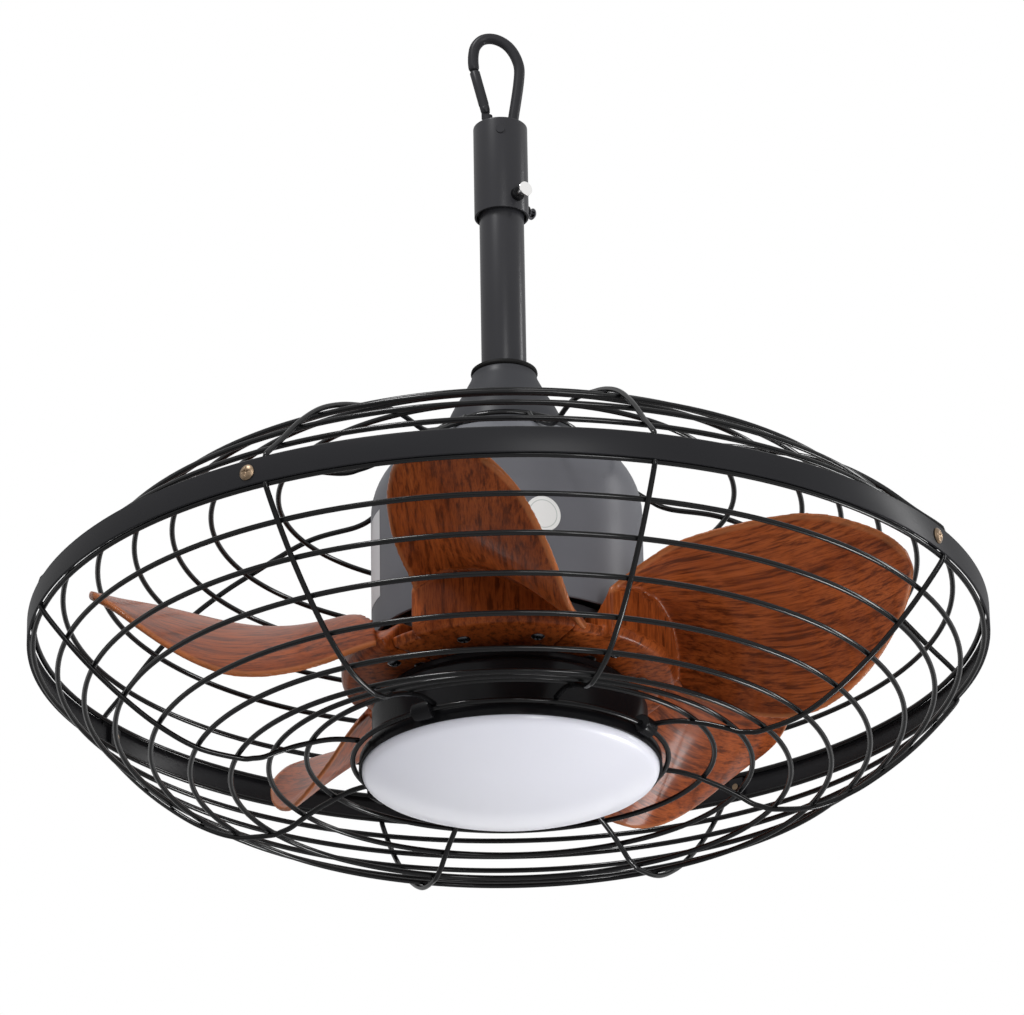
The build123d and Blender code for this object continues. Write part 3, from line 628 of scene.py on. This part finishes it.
WIRE_PAINT = painted("cage_wire_black", (0.005, 0.005, 0.005), (0.008, 0.008, 0.009), 0.3,
                     peeled=False, coat=0.42, gloss=0.12)
BAND_PAINT = painted("band_black", (0.012, 0.012, 0.014), (0.018, 0.018, 0.020), 0.4,
                     coat=0.26, gloss=0.3)
BODY_PAINT = painted("bell_slate_black", (0.036, 0.037, 0.041), (0.046, 0.047, 0.052), 0.45,
                     coat=0.22, gloss=0.36)
MOTOR_PAINT = painted("motor_cover_slate", (0.125, 0.128, 0.143), (0.145, 0.148, 0.164), 0.42,
                      coat=0.3, gloss=0.34)
TUBE_PAINT = painted("downrod_black", (0.022, 0.022, 0.025), (0.030, 0.030, 0.034), 0.38,
                     coat=0.42, gloss=0.28)
HOOK_PAINT = painted("hook_dark_grey", (0.018, 0.018, 0.020), (0.030, 0.030, 0.033), 0.42,
                     grain=500.0, coat=0.24, gloss=0.34)
LAMP_BLACK = painted("lamp_black", (0.005, 0.005, 0.006), (0.009, 0.009, 0.010), 0.3,
                     coat=0.24, gloss=0.22)
RUBBER = painted("collar_rubber", (0.010, 0.010, 0.010), (0.018, 0.018, 0.018), 0.7,
                 grain=300.0, coat=0.1, gloss=0.5)
STEEL = metal("turned_steel", (0.56, 0.56, 0.57), 0.30, lines=1.0)
BRIGHT = metal("bright_screw_steel", (0.85, 0.84, 0.83), 0.12, stain=0.08)
DARK_SCREW = metal("dark_screw_steel", (0.10, 0.10, 0.11), 0.22, stain=0.3)
BRONZE = metal("bronze_screw", (0.25, 0.18, 0.12), 0.30, stain=0.4)
MAGNET = metal("magnet_nickel", (0.30, 0.30, 0.31), 0.35)
CORE = metal("core_laminations", (0.32, 0.33, 0.35), 0.45, lines=2.0)
COPPER = metal("copper_winding", (0.72, 0.30, 0.14), 0.28, lines=2.0)
BOARD = painted("board_white", (0.80, 0.80, 0.79), (0.86, 0.86, 0.85), 0.45)
WOOD = wood_skin()
OPAL = opal()
STICKER = plain_label()
PLATE = painted("blank_rating_label", (0.62, 0.63, 0.65), (0.70, 0.71, 0.73), 0.35)

RINGS = ring_tree()
RIBS = rib_tree()
AROUND = repeat_tree()


def place(piece, body, material, slot, *nodes):
    """Gives a finished piece its material and body, and hides the nodes it stands for. Its slot is not
    used.
    """
    if material is not None:
        piece.data.materials.clear()
        piece.data.materials.append(material)
    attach(piece, body)
    if nodes:
        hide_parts(*nodes)


def place_around(piece, count, angle, body, material, slot, *nodes, sharp=None):
    """Repeats a piece about the axis, from an angle in degrees off the viewer's side, and places it."""
    grown(piece, AROUND, material, count=count, first_angle=math.radians(angle - 90))
    if sharp:
        shade(piece, sharp)
    place(piece, body, None, slot, *nodes)


# Cage

def ring_points(rings):
    return [(r, 0.0, z) for r, z in rings]


def rib_path(rings, side, tail, count):
    """Line of a rib, up (1) or down (-1) from the band along the outside of six rings, then its tail."""
    chain = np.array(rings, float)
    along = np.gradient(chain, axis=0)
    along /= np.linalg.norm(along, axis=1)[:, None]
    normal = np.stack([along[:, 1], -along[:, 0]], -1)
    normal *= np.where(normal[:, 1] * side > 0, 1.0, -1.0)[:, None]
    outer = chain + normal * WIRE
    start = [(262.2, 5.5 * side), (262.6, 9.2 * side)]
    line = smooth_line([*start, *outer[1:7], *tail], count)
    return [(r, 0.0, z) for r, z in line]


def wire_rings(name, rings, last, prefix, last_node):
    """The rings of one half of the cage as one piece, which stands for all their nodes."""
    piece = line_piece(name, ring_points([*rings, last]))
    grown(piece, RINGS, WIRE_PAINT, wire_radius=WIRE / 2 * MM, steps=RING_STEPS)
    nodes = [f"{prefix}_{i + 1}" for i in range(len(rings))]
    place(piece, "fan", None, "black_metal", last_node, *nodes)


def wire_ribs(name, path, node):
    """The ribs of one half of the cage as one piece, from the path of one rib."""
    piece = line_piece(name, path)
    grown(piece, RIBS, WIRE_PAINT, wire_radius=WIRE / 2 * MM, count=RIB_COUNT,
          first_angle=math.radians(RIB_ANGLE - 90))
    place(piece, "fan", None, "black_metal", node)


def build_cage():
    inside = BAND_RADIUS - BAND_WALL
    outline = bent([(inside, -BAND_EDGE), (BAND_RADIUS, -BAND_EDGE), (BAND_RADIUS, BAND_EDGE),
                    (inside, BAND_EDGE)], [0.4, 0.6, 0.6, 0.4], 3)
    place(turned("cage_band_strip", outline, 240), "fan", BAND_PAINT, "black_metal", "cage_band")
    wire_rings("lower_ring_wires", LOWER_RINGS, LAMP_RING, "lower_ring", "lamp_ring")
    wire_rings("upper_ring_wires", UPPER_RINGS, CROWN_RING, "upper_ring", "crown_ring")
    wire_ribs("lower_rib_wires", rib_path(LOWER_RINGS, -1, LOWER_RIB_TAIL, 140), "lower_ribs")
    wire_ribs("upper_rib_wires", rib_path(UPPER_RINGS, 1, UPPER_RIB_TAIL, 120), "upper_ribs")


# Screws

def screw_head(name, radius, height, stem, recess=True, rim=0.25):
    """Pan head drawn along +Z from its seat, on a stem of (radius, length), recessed or plain."""
    rings, steps = 14, 48
    points, faces = [(0.0, 0.0, height * (0.35 if recess else 1.0))], []
    for i in range(1, rings + 1):
        r = radius * (i / rings) ** 0.9
        dome = height * (1 - (1 - rim) * (r / radius) ** 3)
        for k in range(steps):
            turn = math.tau * k / steps
            x, y = r * math.cos(turn), r * math.sin(turn)
            arm = min(abs(x), abs(y)) < radius * 0.13 and r < radius * 0.62
            deep = height * 0.5 * (1 - r / (radius * 0.75)) if recess and arm else 0.0
            points.append((x, y, dome - max(0.0, deep)))
    base = len(points)
    low = [(radius, 0.0), (stem[0], 0.0), (stem[0], -stem[1])]
    angles = [math.tau * k / steps for k in range(steps)]
    for r, z in low:
        points += [(r * math.cos(a), r * math.sin(a), z) for a in angles]
    for k in range(steps):
        m = (k + 1) % steps
        faces.append((0, 1 + k, 1 + m))
        for i in range(rings + len(low) - 1):
            a, b = 1 + i * steps, 1 + (i + 1) * steps
            faces.append((a + k, b + k, b + m, a + m))
    faces.append(tuple(base + 2 * steps + k for k in range(steps))[::-1])
    piece = add_piece(name, points, faces, 35)
    outward(piece)
    shade(piece, 35)
    return piece


def blade_screws(name, head, spread, reach, seat, *nodes):
    """Pair of heads that face down at each blade, spread to both sides of its middle in degrees."""
    pair = []
    for side in (-1, 1):
        turn = Matrix.Rotation(math.radians(side * spread), 4, "Z")
        flip = turn @ Matrix.Translation((reach, 0, seat)) @ Matrix.Rotation(math.pi, 4, "X")
        pair.append(moved(screw_head("one_" + name, *head), flip))
    place_around(joined(name, pair), BLADE_COUNT, BLADE_ANGLE, "rotor", DARK_SCREW, "black_metal",
                 *nodes, sharp=35)


def build_screws():
    screw = screw_head("band_screw_heads", 4.3, 2.0, (1.9, 5.0))
    moved(screw, outwards_from(90, BAND_RADIUS + 0.05, 0))
    place_around(screw, BAND_SCREW_COUNT, BAND_SCREW_ANGLE, "fan", BRONZE, "bronze_screw", "band_screws",
                 sharp=35)
    blade_screws("blade_screw_heads", (4.2, 2.0, (2.3, 12.0)), 20.0, 57.5, -27.1, "blade_screws")
    # a second pair, placed by the two heads that show under the front blade
    blade_screws("root_screw_heads", (3.7, 1.9, (2.2, 6.0)), 16.0, 72.5, -27.2)
    build_sleeve_screws()


def build_sleeve_screws():
    """The bolt's bright disc on its shank, the lock screw, and the dark boss under each."""
    def at(angle, reach=SLEEVE_RADIUS):
        return outwards_from(angle, reach, SLEEVE_SCREW_HEIGHT)

    outline = bent([(0.0, 8.0), (4.1, 8.0), (4.3, 9.3), (0.0, 9.3)], [0, 0.3, 0.3, 0], 3)
    disc = turned("sleeve_bolt_head", outline, 48, closed=False)
    outline = [(0.0, -5.0), (1.9, -5.0), (1.9, 8.3), (0.0, 8.3)]
    shank = turned("sleeve_bolt_shank", outline, 32, closed=False)
    bolt = moved(joined("sleeve_bolt_steel", [disc, shank]), at(SLEEVE_BOLT_ANGLE))
    place(bolt, "fan", BRIGHT, "bright_steel", "sleeve_bolt")
    outline = bent([(2.0, -0.6), (3.9, -0.6), (3.9, 2.6), (2.0, 2.6)], [0, 0.2, 0.8, 0.3], 3)
    bosses = {"sleeve_bolt_boss": SLEEVE_BOLT_ANGLE, "sleeve_screw_boss": SLEEVE_LOCK_ANGLE}
    for name, angle in bosses.items():
        place(moved(turned(name, outline, 40), at(angle)), "fan", LAMP_BLACK, "black_metal")
    lock = screw_head("sleeve_lock_screw", 3.4, 2.2, (1.8, 10.0))
    moved(lock, at(SLEEVE_LOCK_ANGLE, SLEEVE_LOCK_REACH))
    place(lock, "fan", DARK_SCREW, "bright_steel", "sleeve_screw")


# Downrod, sleeve and hook

def build_tube():
    bore = ROD_RADIUS - ROD_WALL
    outline = bent([(bore, ROD_FOOT), (ROD_RADIUS, ROD_FOOT), (ROD_RADIUS, ROD_TOP), (bore, ROD_TOP)],
                   [0.2, 0.3, 0.4, 0.3], 2)
    place(turned("downrod_tube", outline, 96), "fan", TUBE_PAINT, "black_metal", "downrod")
    sink, ledge = 14.3, SLEEVE_FOOT + 3.0
    outline = bent([(sink, SLEEVE_FOOT), (SLEEVE_RADIUS, SLEEVE_FOOT), (SLEEVE_RADIUS, SLEEVE_TOP),
                    (SLEEVE_BORE, SLEEVE_TOP), (SLEEVE_BORE, ledge), (sink, ledge)],
                   [0.2, 0.35, 0.9, 0.6, 0.2, 0.2], 4)
    place(turned("sleeve_tube", outline, 96), "fan", TUBE_PAINT, "black_metal", "hanger_sleeve")
    outline = bent([(SLEEVE_BORE, 161.8), (18.2, 161.8), (18.9, 162.6), (18.6, 164.2), (17.0, 164.7),
                    (SLEEVE_BORE, 164.7)], [0.2, 0.5, 0.6, 0.8, 0.6, 0.2], 4)
    place(turned("rubber_collar", outline, 96), "fan", RUBBER, "black_rubber", "collar_ring")
    side = smooth_line([(18.3, 160.8), (18.9, 158.0), (20.9, 153.8), (24.4, 147.0), (28.7, 139.6),
                        (32.2, 132.0), (34.6, 125.3)], 26)
    inside = [(r - 1.2, z - 0.3) for r, z in side[::-1]]
    rim = [(34.4, 125.0), (33.7, 125.0)]
    neck = [(13.0, 161.7), (16.8, 161.7), (17.8, 161.5)]
    outline = [*neck, *map(tuple, side), *rim, *inside[1:], (16.4, 160.3), (13.0, 160.3)]
    place(turned("bell_canopy", outline, 120), "fan", BODY_PAINT, "black_metal", "bell_cover")


def build_hook():
    path = [(x, PIN + z) for x, z in HOOK_PATH]
    line = smooth_line(path, 150)
    radii = np.full(len(line), HOOK_WIRE / 2)
    radii[:2] -= (0.5, 0.1)
    wire = swept("hook_wire", line, radii, 24)
    x, z = GATE_HINGE
    tongue = block("tongue", (x - 2.2, -1.2, z - 5.5), (x + 2.4, 1.2, z + 1.0))
    knob = screw_head("tongue_end", 2.5, 1.2, (2.5, 1.2), recess=False, rim=1.0)
    moved(knob, Matrix.Translation((x, 0, z)) @ Matrix.Rotation(math.radians(90), 4, "X"))
    hook = joined("hook_wire_and_tongue", [wire, tongue, knob])
    shade(hook, 40)
    place(hook, "hook", HOOK_PAINT, "black_metal", "snap_hook")
    build_gate()


def build_gate():
    """Slotted bar of the gate, drawn at its hinge in its closed place, and the rivet's two heads."""
    x, z = GATE_HINGE
    lean = math.atan2(HOOK_NOSE[0] - x, HOOK_NOSE[1] - z)
    length = math.hypot(HOOK_NOSE[0] - x, HOOK_NOSE[1] - z)
    full = 2.95
    steps = [-2.7, -2.3, -1.5, 0.0, 3.0, 8.0, 14.0, length - 1.9, length - 1.3, length - 1.0]
    radii = [1.3, 2.3, 2.8, full, full, full, full, full, 2.6, 2.2]
    line = [(x + s * math.sin(lean), z + s * math.cos(lean)) for s in steps]
    gate = swept("gate_bar", line, radii, 28)
    slot = block("slot", (-20, -1.35, -20), (20, 1.35, 3.6))
    moved(slot, Matrix.Translation((x, 0, z)) @ Matrix.Rotation(lean, 4, "Y"))
    carve(gate, slot)
    shade(gate, 35)
    place(gate, "gate", HOOK_PAINT, "black_metal", "hook_gate")
    rivets = []
    for side in (-1, 1):
        dome = screw_head("rivet", 1.6, 0.5, (1.0, 3.0), recess=False)
        face = Matrix.Rotation(math.radians(90 if side < 0 else -90), 4, "X")
        rivets.append(moved(dome, Matrix.Translation((x, side * 2.75, z)) @ face))
    pin = joined("gate_rivet", rivets)
    place(pin, "hook", HOOK_PAINT, "bare_steel", "gate_pin")


# Motor and lamp

def build_motor():
    def dome(radius):
        middle = MOTOR_RADIUS - DOME_ROUND
        turns = [math.radians(a) for a in range(0, 91, 6)]
        return [(middle + radius * math.cos(a), DOME_START + radius * math.sin(a)) for a in turns]

    top = DOME_START + DOME_ROUND
    hole = 9.2
    outline = [(MOTOR_RADIUS - 0.4, MOTOR_FOOT), (MOTOR_RADIUS, MOTOR_FOOT + 0.5), *dome(DOME_ROUND),
               (hole, top), (hole, top - MOTOR_WALL), *dome(DOME_ROUND - MOTOR_WALL)[::-1],
               (MOTOR_RADIUS - MOTOR_WALL, MOTOR_FOOT + 0.3), (MOTOR_RADIUS - 1.3, MOTOR_FOOT)]
    place(turned("motor_cover_shell", outline, 192), "fan", MOTOR_PAINT, "black_metal", "motor_cover")
    low, high = top + SEAT_GAP, 116.9
    outline = bent([(29.0, low), (46.0, low), (46.0, high), (29.0, high)], [0.2, 0.3, 0.8, 0.3], 3)
    place(turned("crown_seat_plate", outline, 120), "fan", BODY_PAINT, "black_metal", "crown_plate")


def cover_patch(name, angle, height, width, tall, material, round_patch):
    """Thin sticker on the motor's side, which carries the share of the way out to its edge."""
    points, faces, flat = [], [], []
    rows, columns = 12, 40
    for i in range(rows + 1):
        for k in range(columns):
            u = i / rows
            turn = math.tau * k / columns
            x, y = math.cos(turn), math.sin(turn)
            if not round_patch:
                grow = 1 / max(abs(x), abs(y))
                x, y = x * grow, y * grow
            across, up = x * u * width / 2, y * u * tall / 2
            around = math.radians(angle - 90) + across / MOTOR_RADIUS
            out = MOTOR_RADIUS + SEAT_GAP
            points.append((out * math.cos(around), out * math.sin(around), height + up))
            flat.append((u, 0.0, 0.0))
    for i in range(rows):
        for k in range(columns):
            m = (k + 1) % columns
            near, far = i * columns, (i + 1) * columns
            faces.append((near + k, far + k, far + m, near + m))
    piece = add_piece(name, points, faces)
    mark = piece.data.attributes.new("grain", "FLOAT_VECTOR", "POINT")
    mark.data.foreach_set("vector", np.array(flat, np.float32).ravel())
    form = bmesh.new()
    form.from_mesh(piece.data)
    bmesh.ops.remove_doubles(form, verts=form.verts, dist=0.0001 * MM)
    form.to_mesh(piece.data)
    form.free()
    shade(piece)
    place(piece, "fan", material, "board_white")


def build_lamp():
    outline = bent(PAN_OUTLINE, PAN_ROUNDS)
    place(turned("lamp_pan", outline, 192), "fan", LAMP_BLACK, "black_plastic", "lamp_housing")
    angles = np.linspace(math.asin(LENS_FACE / LENS_CURVE), 0, 30)
    cap = [(LENS_CURVE * math.sin(a), LENS_FOOT + LENS_CURVE * (1 - math.cos(a))) for a in angles]
    shoulder = [(81.5, -75.6), (81.4, -77.4), (81.0, -78.9), (80.2, -80.2)]
    inner = [(r * 0.975, z + 2.0) for r, z in cap[::-1]]
    outline = [(81.5, LENS_SEAT), *shoulder, *cap, *inner, (79.6, LENS_SEAT)]
    place(turned("lens_dome", outline, 192), "fan", OPAL, "opal_lens", "lens")


def build_clips():
    half = [(1.4, -5.6), (4.4, -5.6), (5.0, -5.1), (5.2, -3.8)]
    barrel = turned("ring_clip_barrels", half + [(r, -z) for r, z in half[::-1]], 40)
    moved(barrel, Matrix.Translation(CLIP_PLACE) @ Matrix.Rotation(math.radians(90), 4, "X"))
    carve(barrel, block("rim_cut", (60, -30, -90), (PAN_RIM, 30, -50)))
    place_around(barrel, CLIP_COUNT, RIB_ANGLE - 45, "fan", LAMP_BLACK, "black_plastic", "ring_clips",
                 sharp=35)


# Blades

def arch(s, across):
    """How far the blade's middle rises above the straight line between its edges."""
    rise = np.interp(s, *zip(*BLADE_ARCH))
    return rise * across ** 1.25 * (1 - across) / ARCH_PEAK


def blade_body():
    """Closed skin of one blade along +X between its two measured edges."""
    table = np.array(BLADE_EDGES, float)
    lead = smooth_line(table[:, [0, 1, 2]], 90)
    trail = smooth_line(table[:, [0, 3, 4]], 90)
    tip = (BLADE_TIP - BLADE_ROUND) * np.sin(np.linspace(0.06, math.pi / 2, 22))
    stations = np.concatenate([np.linspace(BLADE_START, BLADE_ROUND, 70), BLADE_ROUND + tip])
    ring = []
    for k in range(64):
        turn = math.tau * k / 64
        x, y = math.cos(turn), math.sin(turn)
        ring.append((0.5 * math.copysign(abs(x) ** 0.85, x), 0.5 * math.copysign(abs(y) ** 0.45, y)))
    points, faces = [], []
    for s in stations:
        a = np.array([np.interp(s, lead[:, 0], lead[:, 1]), np.interp(s, lead[:, 0], lead[:, 2])])
        b = np.array([np.interp(s, trail[:, 0], trail[:, 1]), np.interp(s, trail[:, 0], trail[:, 2])])
        chord = np.linalg.norm(b - a)
        along = (b - a) / chord
        up = np.array([-along[1], along[0]])
        thick = min(BLADE_THICK, chord * 0.4)
        for x, y in ring:
            spot = (a + b) / 2 + along * x * chord + up * y * thick
            rise = arch(s, x + 0.5)
            # the sheet starts at the root's wall, and its trailing rim a little further out
            start = math.sqrt(max(0.0, ROOT_WALL ** 2 - spot[0] ** 2))
            start += 10.7 * min(1, max(0, (spot[0] - 30) / 17))
            points.append((max(s, start), spot[0], spot[1] + rise))
    count = len(ring)
    for i in range(len(stations) - 1):
        for k in range(count):
            m = (k + 1) % count
            faces.append((i * count + k, i * count + m, (i + 1) * count + m, (i + 1) * count + k))
    faces.append(tuple(range(count))[::-1])
    faces.append(tuple((len(stations) - 1) * count + k for k in range(count)))
    piece = add_piece("blade_body", points, faces)
    return outward(piece)


def polar_block(name, radii, angles, top, foot):
    """Closed block between two heights given by radius and angle in degrees."""
    points, faces = [], []
    for r in radii:
        for a in angles:
            x, y = r * math.cos(math.radians(a)), r * math.sin(math.radians(a))
            points += [(x, y, top(r, a)), (x, y, foot(r))]
    rows, columns = len(radii), len(angles)

    def spot(i, k, side):
        return 2 * (i * columns + k) + side

    for i in range(rows - 1):
        for k in range(columns - 1):
            faces.append((spot(i, k, 0), spot(i + 1, k, 0), spot(i + 1, k + 1, 0), spot(i, k + 1, 0)))
            faces.append((spot(i, k, 1), spot(i, k + 1, 1), spot(i + 1, k + 1, 1), spot(i + 1, k, 1)))
    for i in range(rows - 1):
        for k in (0, columns - 1):
            faces.append((spot(i, k, 0), spot(i, k, 1), spot(i + 1, k, 1), spot(i + 1, k, 0)))
    for k in range(columns - 1):
        for i in (0, rows - 1):
            faces.append((spot(i, k, 0), spot(i, k + 1, 0), spot(i, k + 1, 1), spot(i, k, 1)))
    return outward(add_piece(name, points, faces))


def blade_root():
    """Curved block under the hub that the blade grows out of, and its flange to the next blade."""
    def top(r, a):
        if r < 78.5:
            return ROOT_TOP
        lift = min(1.0, max(0.0, (r - 78.9) / 11.1))
        fold = np.interp(a, *zip(*ROOT_FOLD))
        return -10.6 * (1 - lift) + (fold + 1.5) * lift

    def foot(r):
        return ROOT_FOOT + 5.0 * max(0.0, (r - 87.8) / 4.5) ** 2.2

    def flange_top(r, a):
        return -20.5 - 2.2 * max(0.0, (r - 84) / 2.5) ** 2

    def flange_foot(r):
        return foot(r + 5.8)

    last = 27.3
    radii = [ROOT_START, 60.0, 78.4, 78.9, 80.0, 82.0, 84.0, 86.0, 88.0, 89.0, 90.0, 91.0, 91.8, 92.3]
    root = polar_block("blade_root", radii, np.linspace(-31.4, last, 48), top, foot)
    radii = [ROOT_START, 60.0, 80.0, 84.0, 85.8, 86.5]
    flange = polar_block("root_flange", radii, np.linspace(-44.2, last, 50), flange_top, flange_foot)
    return [root, flange]


def mark_grain(blade):
    """Attributes for the wood: places along the grain, upright on the root's wall, and the painted
    highlight along the blade's edges.
    """
    wall, wall_blend, shift = 0.094, 0.002, 0.09
    edge_highlight_width, edge_highlight_blend = 0.0042, 0.0014
    spots = np.zeros(len(blade.data.vertices) * 3, np.float32)
    blade.data.vertices.foreach_get("co", spots)
    spots = spots.reshape(-1, 3) + (0, 0, HANG * MM)
    radius = np.hypot(spots[:, 0], spots[:, 1])
    pull = np.clip((wall - radius) / wall_blend, 0, 1)[:, None]
    upright = np.stack([spots[:, 2], spots[:, 1], spots[:, 0]], -1) + (shift, 0, 0)
    grain = spots * (1 - pull) + upright * pull
    mark = blade.data.attributes.new("grain", "FLOAT_VECTOR", "POINT")
    mark.data.foreach_set("vector", grain.astype(np.float32).ravel())
    table = np.array(BLADE_EDGES, float) * MM
    gap = np.full(len(spots), 1.0)
    for column in (1, 3):
        for point in smooth_line(table[:, [0, column, column + 1]], 200):
            gap = np.minimum(gap, np.linalg.norm(spots - point, axis=1))
    # painted highlight: a band about 4 mm wide along the leading and trailing edges, fading over 1.4 mm,
    # kept beyond 90 mm from the axis
    rim = np.clip((edge_highlight_width - gap) / edge_highlight_blend, 0, 1) * (radius > shift)
    mark = blade.data.attributes.new("rim", "FLOAT", "POINT")
    mark.data.foreach_set("value", rim.astype(np.float32))


def build_blades():
    """One blade and its root, grown together by a remesh, and its five turned copies."""
    whole = joined("blade_form", [blade_body(), *blade_root()])
    remesh = whole.modifiers.new("skin", "REMESH")
    remesh.mode = "VOXEL"
    remesh.voxel_size = VOXEL * MM
    ease = whole.modifiers.new("ease", "SMOOTH")
    ease.factor = 0.5
    ease.iterations = 7
    settled(whole)
    mark_grain(whole)
    whole.data.polygons.foreach_set("use_smooth", [True] * len(whole.data.polygons))
    for i in range(BLADE_COUNT):
        angle = BLADE_ANGLE + 360.0 / BLADE_COUNT * i
        mesh = whole.data.copy()
        mesh.transform(Matrix.Rotation(math.radians(angle - 90), 4, "Z"))
        piece = bpy.data.objects.new(f"wood_blade_{i + 1}", mesh)
        bpy.context.scene.collection.objects.link(piece)
        place(piece, "rotor", WOOD, "blade_wood", f"blade_{i + 1}")
    bpy.data.objects.remove(whole)


# Kept CAD nodes

def dress_nodes():
    """Finishes for the CAD's own nodes. Those that aren't named are hidden or black."""
    finishes = {"yoke": TUBE_PAINT, "yoke_pin": STEEL, "hook_pin": TUBE_PAINT, "band_tabs": BAND_PAINT,
                "shaft": STEEL, "bearings": STEEL, "rotor_shell": STEEL, "magnets": MAGNET,
                "stator_core": CORE, "stator_coils": COPPER, "blade_hub": BODY_PAINT,
                "led_board": BOARD, "lamp_nut": STEEL}
    for name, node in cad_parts.items():
        node.data.materials.clear()
        node.data.materials.append(finishes.get(name, BAND_PAINT))


# Stage

def area_light(name, spot, aim, size, power):
    """Lamp in metres and watts that the camera doesn't see."""
    lamp = bpy.data.lights.new(name, "AREA")
    lamp.shape = "RECTANGLE"
    lamp.size, lamp.size_y = size
    lamp.energy = power
    light = bpy.data.objects.new(name, lamp)
    light.location = spot
    light.rotation_euler = (Vector(aim) - Vector(spot)).to_track_quat("-Z", "Y").to_euler()
    light.visible_camera = False
    bpy.context.scene.collection.objects.link(light)


def white_room():
    """World that lights softly, and shows white to the camera, in gloss and through glass."""
    world = bpy.data.worlds.new("studio")
    bpy.context.scene.world = world
    world.use_nodes = True
    tree = Field(world.node_tree)
    world.node_tree.nodes.clear()
    ray = tree.node("ShaderNodeLightPath")
    gloss = tree.math("MAXIMUM", ray.other("Is Glossy Ray"), ray.other("Is Transmission Ray"))
    seen = tree.math("MAXIMUM", ray.other("Is Camera Ray"), gloss)
    soft = tree.node("ShaderNodeBackground", sockets={"Color": rgb(1, 1, 1), "Strength": 0.32})
    white = tree.node("ShaderNodeBackground", sockets={"Color": rgb(1, 1, 1), "Strength": 1.0})
    both = tree.node("ShaderNodeMixShader", sockets={0: seen, 1: soft, 2: white})
    end = world.node_tree.nodes.new("ShaderNodeOutputWorld")
    world.node_tree.links.new(both.socket, end.inputs["Surface"])


def build_stage():
    half, height = 6.0, -2.1
    corners = [(x * half, y * half, height) for x, y in ((-1, -1), (1, -1), (1, 1), (-1, 1))]
    floor = bpy.data.objects.new("pale_floor", bpy.data.meshes.new("pale_floor"))
    floor.data.from_pydata(corners, [], [(0, 1, 2, 3)])
    bpy.context.scene.collection.objects.link(floor)
    material, tree, shader = finish("pale_floor_paint", roughness=0.8)
    speckle = noise(tree, tree.node("ShaderNodeTexCoord", output="Object"), 3.0)
    feed(shader, color=blend_colours(tree, speckle, rgb(0.80, 0.80, 0.80), rgb(0.84, 0.84, 0.84)))
    floor.data.materials.append(material)
    white_room()
    area_light("low_right", (1.5, 0.7, -1.9), (0, 0, -0.4), (0.5, 0.5), 25)
    area_light("front_right", (0.9, -2.4, -0.9), (0, 0, -0.35), (0.5, 0.9), 19)
    area_light("top_left", (-0.9, -1.0, 1.6), (0, 0, -0.35), (0.5, 0.5), 36)
    area_light("right_edge", (2.2, 0.5, 0.1), (0, 0, -0.25), (0.3, 1.6), 24)
    area_light("level_front", (0.5, -2.8, 0.3), (0, 0, -0.3), (0.7, 0.9), 14)


def build_camera():
    """Camera at the photograph's place: below the fan, looking up at it."""
    below, swing, tilt, roll = (math.radians(angle) for angle in CAMERA_ANGLES)
    spot = (0.0, -CAMERA_FAR * math.cos(below), -CAMERA_FAR * math.sin(below))
    ahead = Vector((math.sin(swing) * math.cos(tilt), math.cos(swing) * math.cos(tilt), math.sin(tilt)))
    right = ahead.cross(Vector((0, 0, 1))).normalized()
    up = right.cross(ahead)
    right, up = (right * math.cos(roll) + up * math.sin(roll),
                 up * math.cos(roll) - right * math.sin(roll))
    lens = bpy.data.cameras.new("view")
    lens.lens = FOCAL_PIXELS * SENSOR / PHOTO_WIDTH
    lens.sensor_width = SENSOR
    lens.clip_end = 50.0
    camera = bpy.data.objects.new("view", lens)
    turn = Matrix((right, up, -ahead)).transposed().to_4x4()
    camera.matrix_world = Matrix.Translation(metres([spot])[0].tolist()) @ turn
    bpy.context.scene.collection.objects.link(camera)
    bpy.context.scene.camera = camera


build_cage()
build_screws()
build_tube()
build_hook()
build_motor()
cover_patch("round_sticker_blank", 15.3, 44.0, 20.0, 21.0, STICKER, True)
cover_patch("rating_label_blank", -76.0, 42.0, 22.0, 52.0, PLATE, False)
build_lamp()
build_clips()
build_blades()
dress_nodes()
build_stage()
build_camera()
bpy.context.scene.view_settings.view_transform = "Standard"
